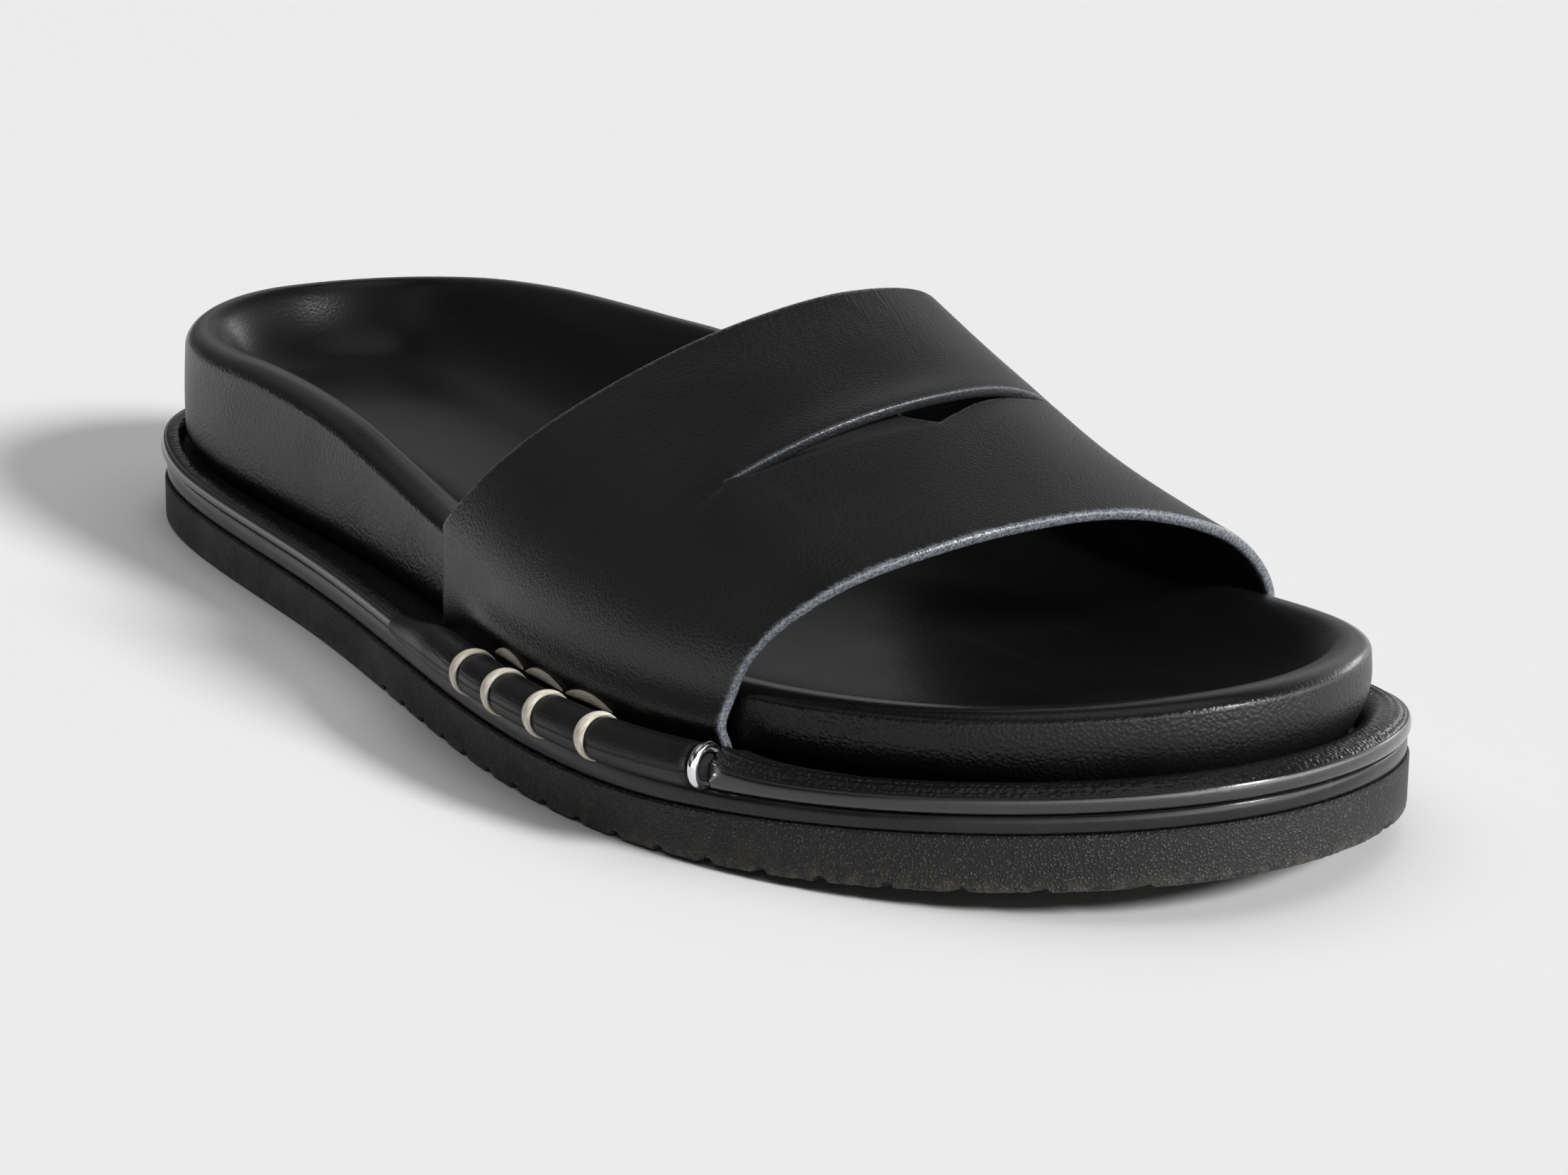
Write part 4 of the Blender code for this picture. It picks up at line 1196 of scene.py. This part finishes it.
def makeWraps(side):
    # a C round the roll: from the strap side over the top, down the outer side and under
    shape, sheets = cordShape, []
    t = np.linspace(0.0, 1.0, shape["steps"])
    turn = np.radians(shape["start"] + (shape["end"] - shape["start"]) * t)[:, None]
    swing = ((shape["leanFrom"] - t) ** 2 * shape["lean"])[:, None] * (1.0 if side == "lateral" else -1.0)
    wide, thick = shape["endWidth"], shape["endThick"]
    wide = shape["width"] * (wide + (1.0 - wide) * between(*shape["widthFades"], t))
    thick = shape["thick"] * (thick + (1.0 - thick) * between(*shape["thickFades"], t))
    for y in shape[side]:
        s = arcAt(side, y)
        radius = rollRadius(side, s)
        centre, along, out = rollPath(np.array(s), radius)
        radial = out * np.cos(turn) + upward * np.sin(turn)
        path = centre + radial * (radius - shape["press"] + shape["thick"] * shape["rideOut"]) + along * swing
        sheets.append(cordSheet(path, np.broadcast_to(along, path.shape), radial, wide, thick))
    return sheets


def makeLegs(side):
    # bowed bars on the strap's foot, from above one wrap to the next
    shape, sheets = cordShape, []
    t = np.linspace(0.0, 1.0, shape["legSteps"])
    bow = np.sin(math.pi * t)
    sign = -1.0 if side == "lateral" else 1.0
    face = np.array((sign * shape["legFace"][0], 0.0, shape["legFace"][1]))
    wide, thick = shape["legEnds"]
    spread = np.sin(math.pi * np.clip(t * shape["legTip"], 0.0, 1.0)) ** shape["legFull"]
    wide = shape["legWidth"] * (wide + (1.0 - wide) * spread)
    thick = shape["thick"] * (thick + (1.0 - thick) * bow)
    above = shape["legLow"] + shape["legRise"] * bow
    out = sign * (strapSwell(np.array(0.5), above) + shape["legOut"])
    for start, end in zip(shape[side], shape[side][1:]):
        y = start + shape["legShift"] + (end - start) * shape["legSpan"] * t
        x, low = strapFoot(side, y)
        path = np.stack([x + out, y, low + above], axis=-1)
        along = unit(np.gradient(path, axis=0))
        up = unit(face - along * (along @ face)[:, None])
        sheets.append(cordSheet(path, np.cross(along, up), up, wide, thick))
    return sheets


def cordMaterial():
    # lengthwise fibres in two creams, a little soiled in patches
    look = cordShape
    material, n, surface, where = newMaterial("waxedCord", Specular_IOR_Level=look["gloss"])
    place = n.add("ShaderNodeCombineXYZ", X=n.math("MULTIPLY", n.mark("alongCord"), 0.22),
                  Y=n.math("MULTIPLY", n.mark("aroundCord"), 1.9))
    fibres = n.noise(place.outputs[0], 2.6, 2.0, 0.6)
    soil = n.ramp(n.noise(where, 300.0, 1.0), 0.4, 0.75, 0.0, 0.3)
    colour = n.mix(n.ramp(fibres, 0.32, 0.66), *look["cream"])
    colour = n.mix(soil, colour, look["soiled"])
    dress(n, surface, colour, n.ramp(fibres, 0.3, 0.7, *look["rough"]), n.math("MULTIPLY", fibres, 0.2))
    return material


cordLook = cordMaterial()
for sideName in ("lateral", "medial"):
    cords = makeWraps(sideName) + makeLegs(sideName)
    settle(makePiece("stitches" + sideName.capitalize(), cords, sharp=60.0), cordLook, "stitch_cord")


# camera, floor and light

shot = {
    "azimuth": -37.08,
    "elevation": 13.40,
    "roll": 1.50,
    "distance": 960.69,
    "focal": 2126.84,  # in pixels of the whole picture
    "aimX": 178.54,
    "aimY": 156.21,
    "pictureCentre": (1106.0, 829.0),
    "shoeCentre": (1012.0, 946.0),
    "shoeWidth": 726.0,
    "sensor": 36.0,
    "clip": (0.05, 50.0),  # metres
}


def placeCamera():
    # the picture's own camera, turned on the spot so that the shoe is in the middle
    a, e, r = (math.radians(shot[k]) for k in ("azimuth", "elevation", "roll"))
    back = Vector((math.sin(a) * math.cos(e), -math.cos(a) * math.cos(e), math.sin(e)))
    flat = Vector((math.cos(a), math.sin(a), 0.0))
    up = back.cross(flat)
    right = flat * math.cos(r) + up * math.sin(r)
    top = up * math.cos(r) - flat * math.sin(r)
    place = Vector((shot["aimX"], shot["aimY"], 0.0)) + back * shot["distance"]
    offX, offY = (b - a for a, b in zip(shot["pictureCentre"], shot["shoeCentre"]))
    sight = (right * offX - top * offY - back * shot["focal"]).normalized()
    turn = (-back).rotation_difference(sight)
    axes = Matrix((turn @ right, turn @ top, turn @ back)).transposed()
    data = bpy.data.cameras.new("shoeCamera")
    data.sensor_width = shot["sensor"]
    reach = math.hypot(offX, offY, shot["focal"])
    data.lens = shot["sensor"] * reach / shot["shoeWidth"]
    data.clip_start, data.clip_end = shot["clip"]
    data.dof.use_dof = False
    camera = bpy.data.objects.new("shoeCamera", data)
    camera.matrix_world = Matrix.Translation(place * mm) @ axes.to_4x4()
    bpy.context.scene.collection.objects.link(camera)
    bpy.context.scene.camera = camera


floorLook = {
    "size": 6.0,  # metres
    "gloss": 0.2,
    "roughness": 0.7,
    "pale": ((0.86, 0.86, 0.86, 1), (0.85, 0.85, 0.85, 1)),
}


def makeFloor():
    half = floorLook["size"] / 2.0
    corners = [(-half, -half, 0), (half, -half, 0), (half, half, 0), (-half, half, 0)]
    mesh = bpy.data.meshes.new("floor")
    mesh.from_pydata(corners, [], [(0, 1, 2, 3)])
    floor = bpy.data.objects.new("floor", mesh)
    bpy.context.scene.collection.objects.link(floor)
    material, n, surface, where = newMaterial("paleFloor", Specular_IOR_Level=floorLook["gloss"],
                                              Roughness=floorLook["roughness"])
    n.put(surface["Base Color"], n.mix(n.noise(where, 3.0, 2.0), *floorLook["pale"]))
    mesh.materials.append(material)


lampAim = Vector((0.0, 0.0, 0.03))  # metres
# name, place in metres (a sun's place gives its direction), width, height, watts, what it lights
lamps = (
    ("keyGloss", (1.0, -2.86, 1.75), 13.0, 0.0, 3.4, "glossy"),
    ("keySun", (1.0, -2.86, 1.75), 13.0, 0.0, 3.60, "diffuse"),
    ("sideRight", (2.3, 0.55, 0.62), 0.9, 0.35, 5.0, "glossy"),
    ("overhead", (0.0, 0.3, 3.5), 6.0, 6.0, 102.1, "diffuse"),
)
# brightness of the room as the shoe mirrors it: height over the horizon in degrees, then eight
# steps of 45 degrees round, from the medial side over the heel, the lateral side and the toe
room = (
    (4.0, (1.5, 0.2, 0.1, 0.05, 0.0, 2.7, 5.8, 5.6)),
    (18.0, (0.8, 0.55, 0.1, 0.12, 0.0, 1.4, 3.9, 3.8)),
    (35.0, (0.2, 0.36, 0.22, 0.15, 0.62, 0.0, 0.0, 0.0)),
    (55.0, (0.0,) * 8),
    (78.0, (0.55,) * 8),
)


def placeLamps():
    # a lamp without a height is a sun, its width then the angle it spans in degrees
    for name, place, width, height, power, lights in lamps:
        data = bpy.data.lights.new(name, "AREA" if height else "SUN")
        data.energy = power
        if height:
            data.shape = "RECTANGLE"
            data.size, data.size_y = width, height
        else:
            data.angle = math.radians(width)
        lamp = bpy.data.objects.new(name, data)
        lamp.location = place
        lamp.rotation_mode = "QUATERNION"
        lamp.rotation_quaternion = (lampAim - Vector(place)).to_track_quat("-Z", "Y")
        lamp.visible_glossy = lights != "diffuse"
        lamp.visible_diffuse = lights != "glossy"
        bpy.context.scene.collection.objects.link(lamp)


def makeWorld():
    # one ring of colour stops for each height, blended upward; the room is only seen in reflections
    world = bpy.data.worlds.new("studio")
    world.use_nodes = True
    world.cycles_visibility.diffuse = False
    bpy.context.scene.world = world
    n = Nodes(world.node_tree)
    split = n.add("ShaderNodeSeparateXYZ", Vector=n.add("ShaderNodeTexCoord").outputs["Generated"])
    angle = n.math("ARCTAN2", split.outputs["Y"], split.outputs["X"])
    turn = n.math("MULTIPLY_ADD", angle, 0.5 / math.pi, 0.5)
    rise = n.math("ARCSINE", split.outputs["Z"])
    colour, below = None, 0.0
    for degrees, values in room:
        ring = n.add("ShaderNodeValToRGB", Fac=turn)
        stops, steps = ring.color_ramp, len(values)
        stops.interpolation = "EASE"
        for k in range(1, steps):
            stops.elements.new(k / steps)
        for k in range(steps + 1):
            value = values[(k + steps // 2) % steps]  # the ramp starts half a turn away from the table
            stops.elements[k].color = (value, value, value, 1)
        height = math.radians(degrees)
        if colour is None:
            colour = ring.outputs[0]
        else:
            colour = n.mix(n.ramp(rise, below, height), colour, ring.outputs[0])
        below = height
    n.put(world.node_tree.nodes["Background"].inputs["Color"], colour)


placeCamera()
makeFloor()
placeLamps()
makeWorld()
bpy.context.scene.view_settings.view_transform = "Standard"
print("camera, floor and light placed")

bpy.context.view_layer.update()
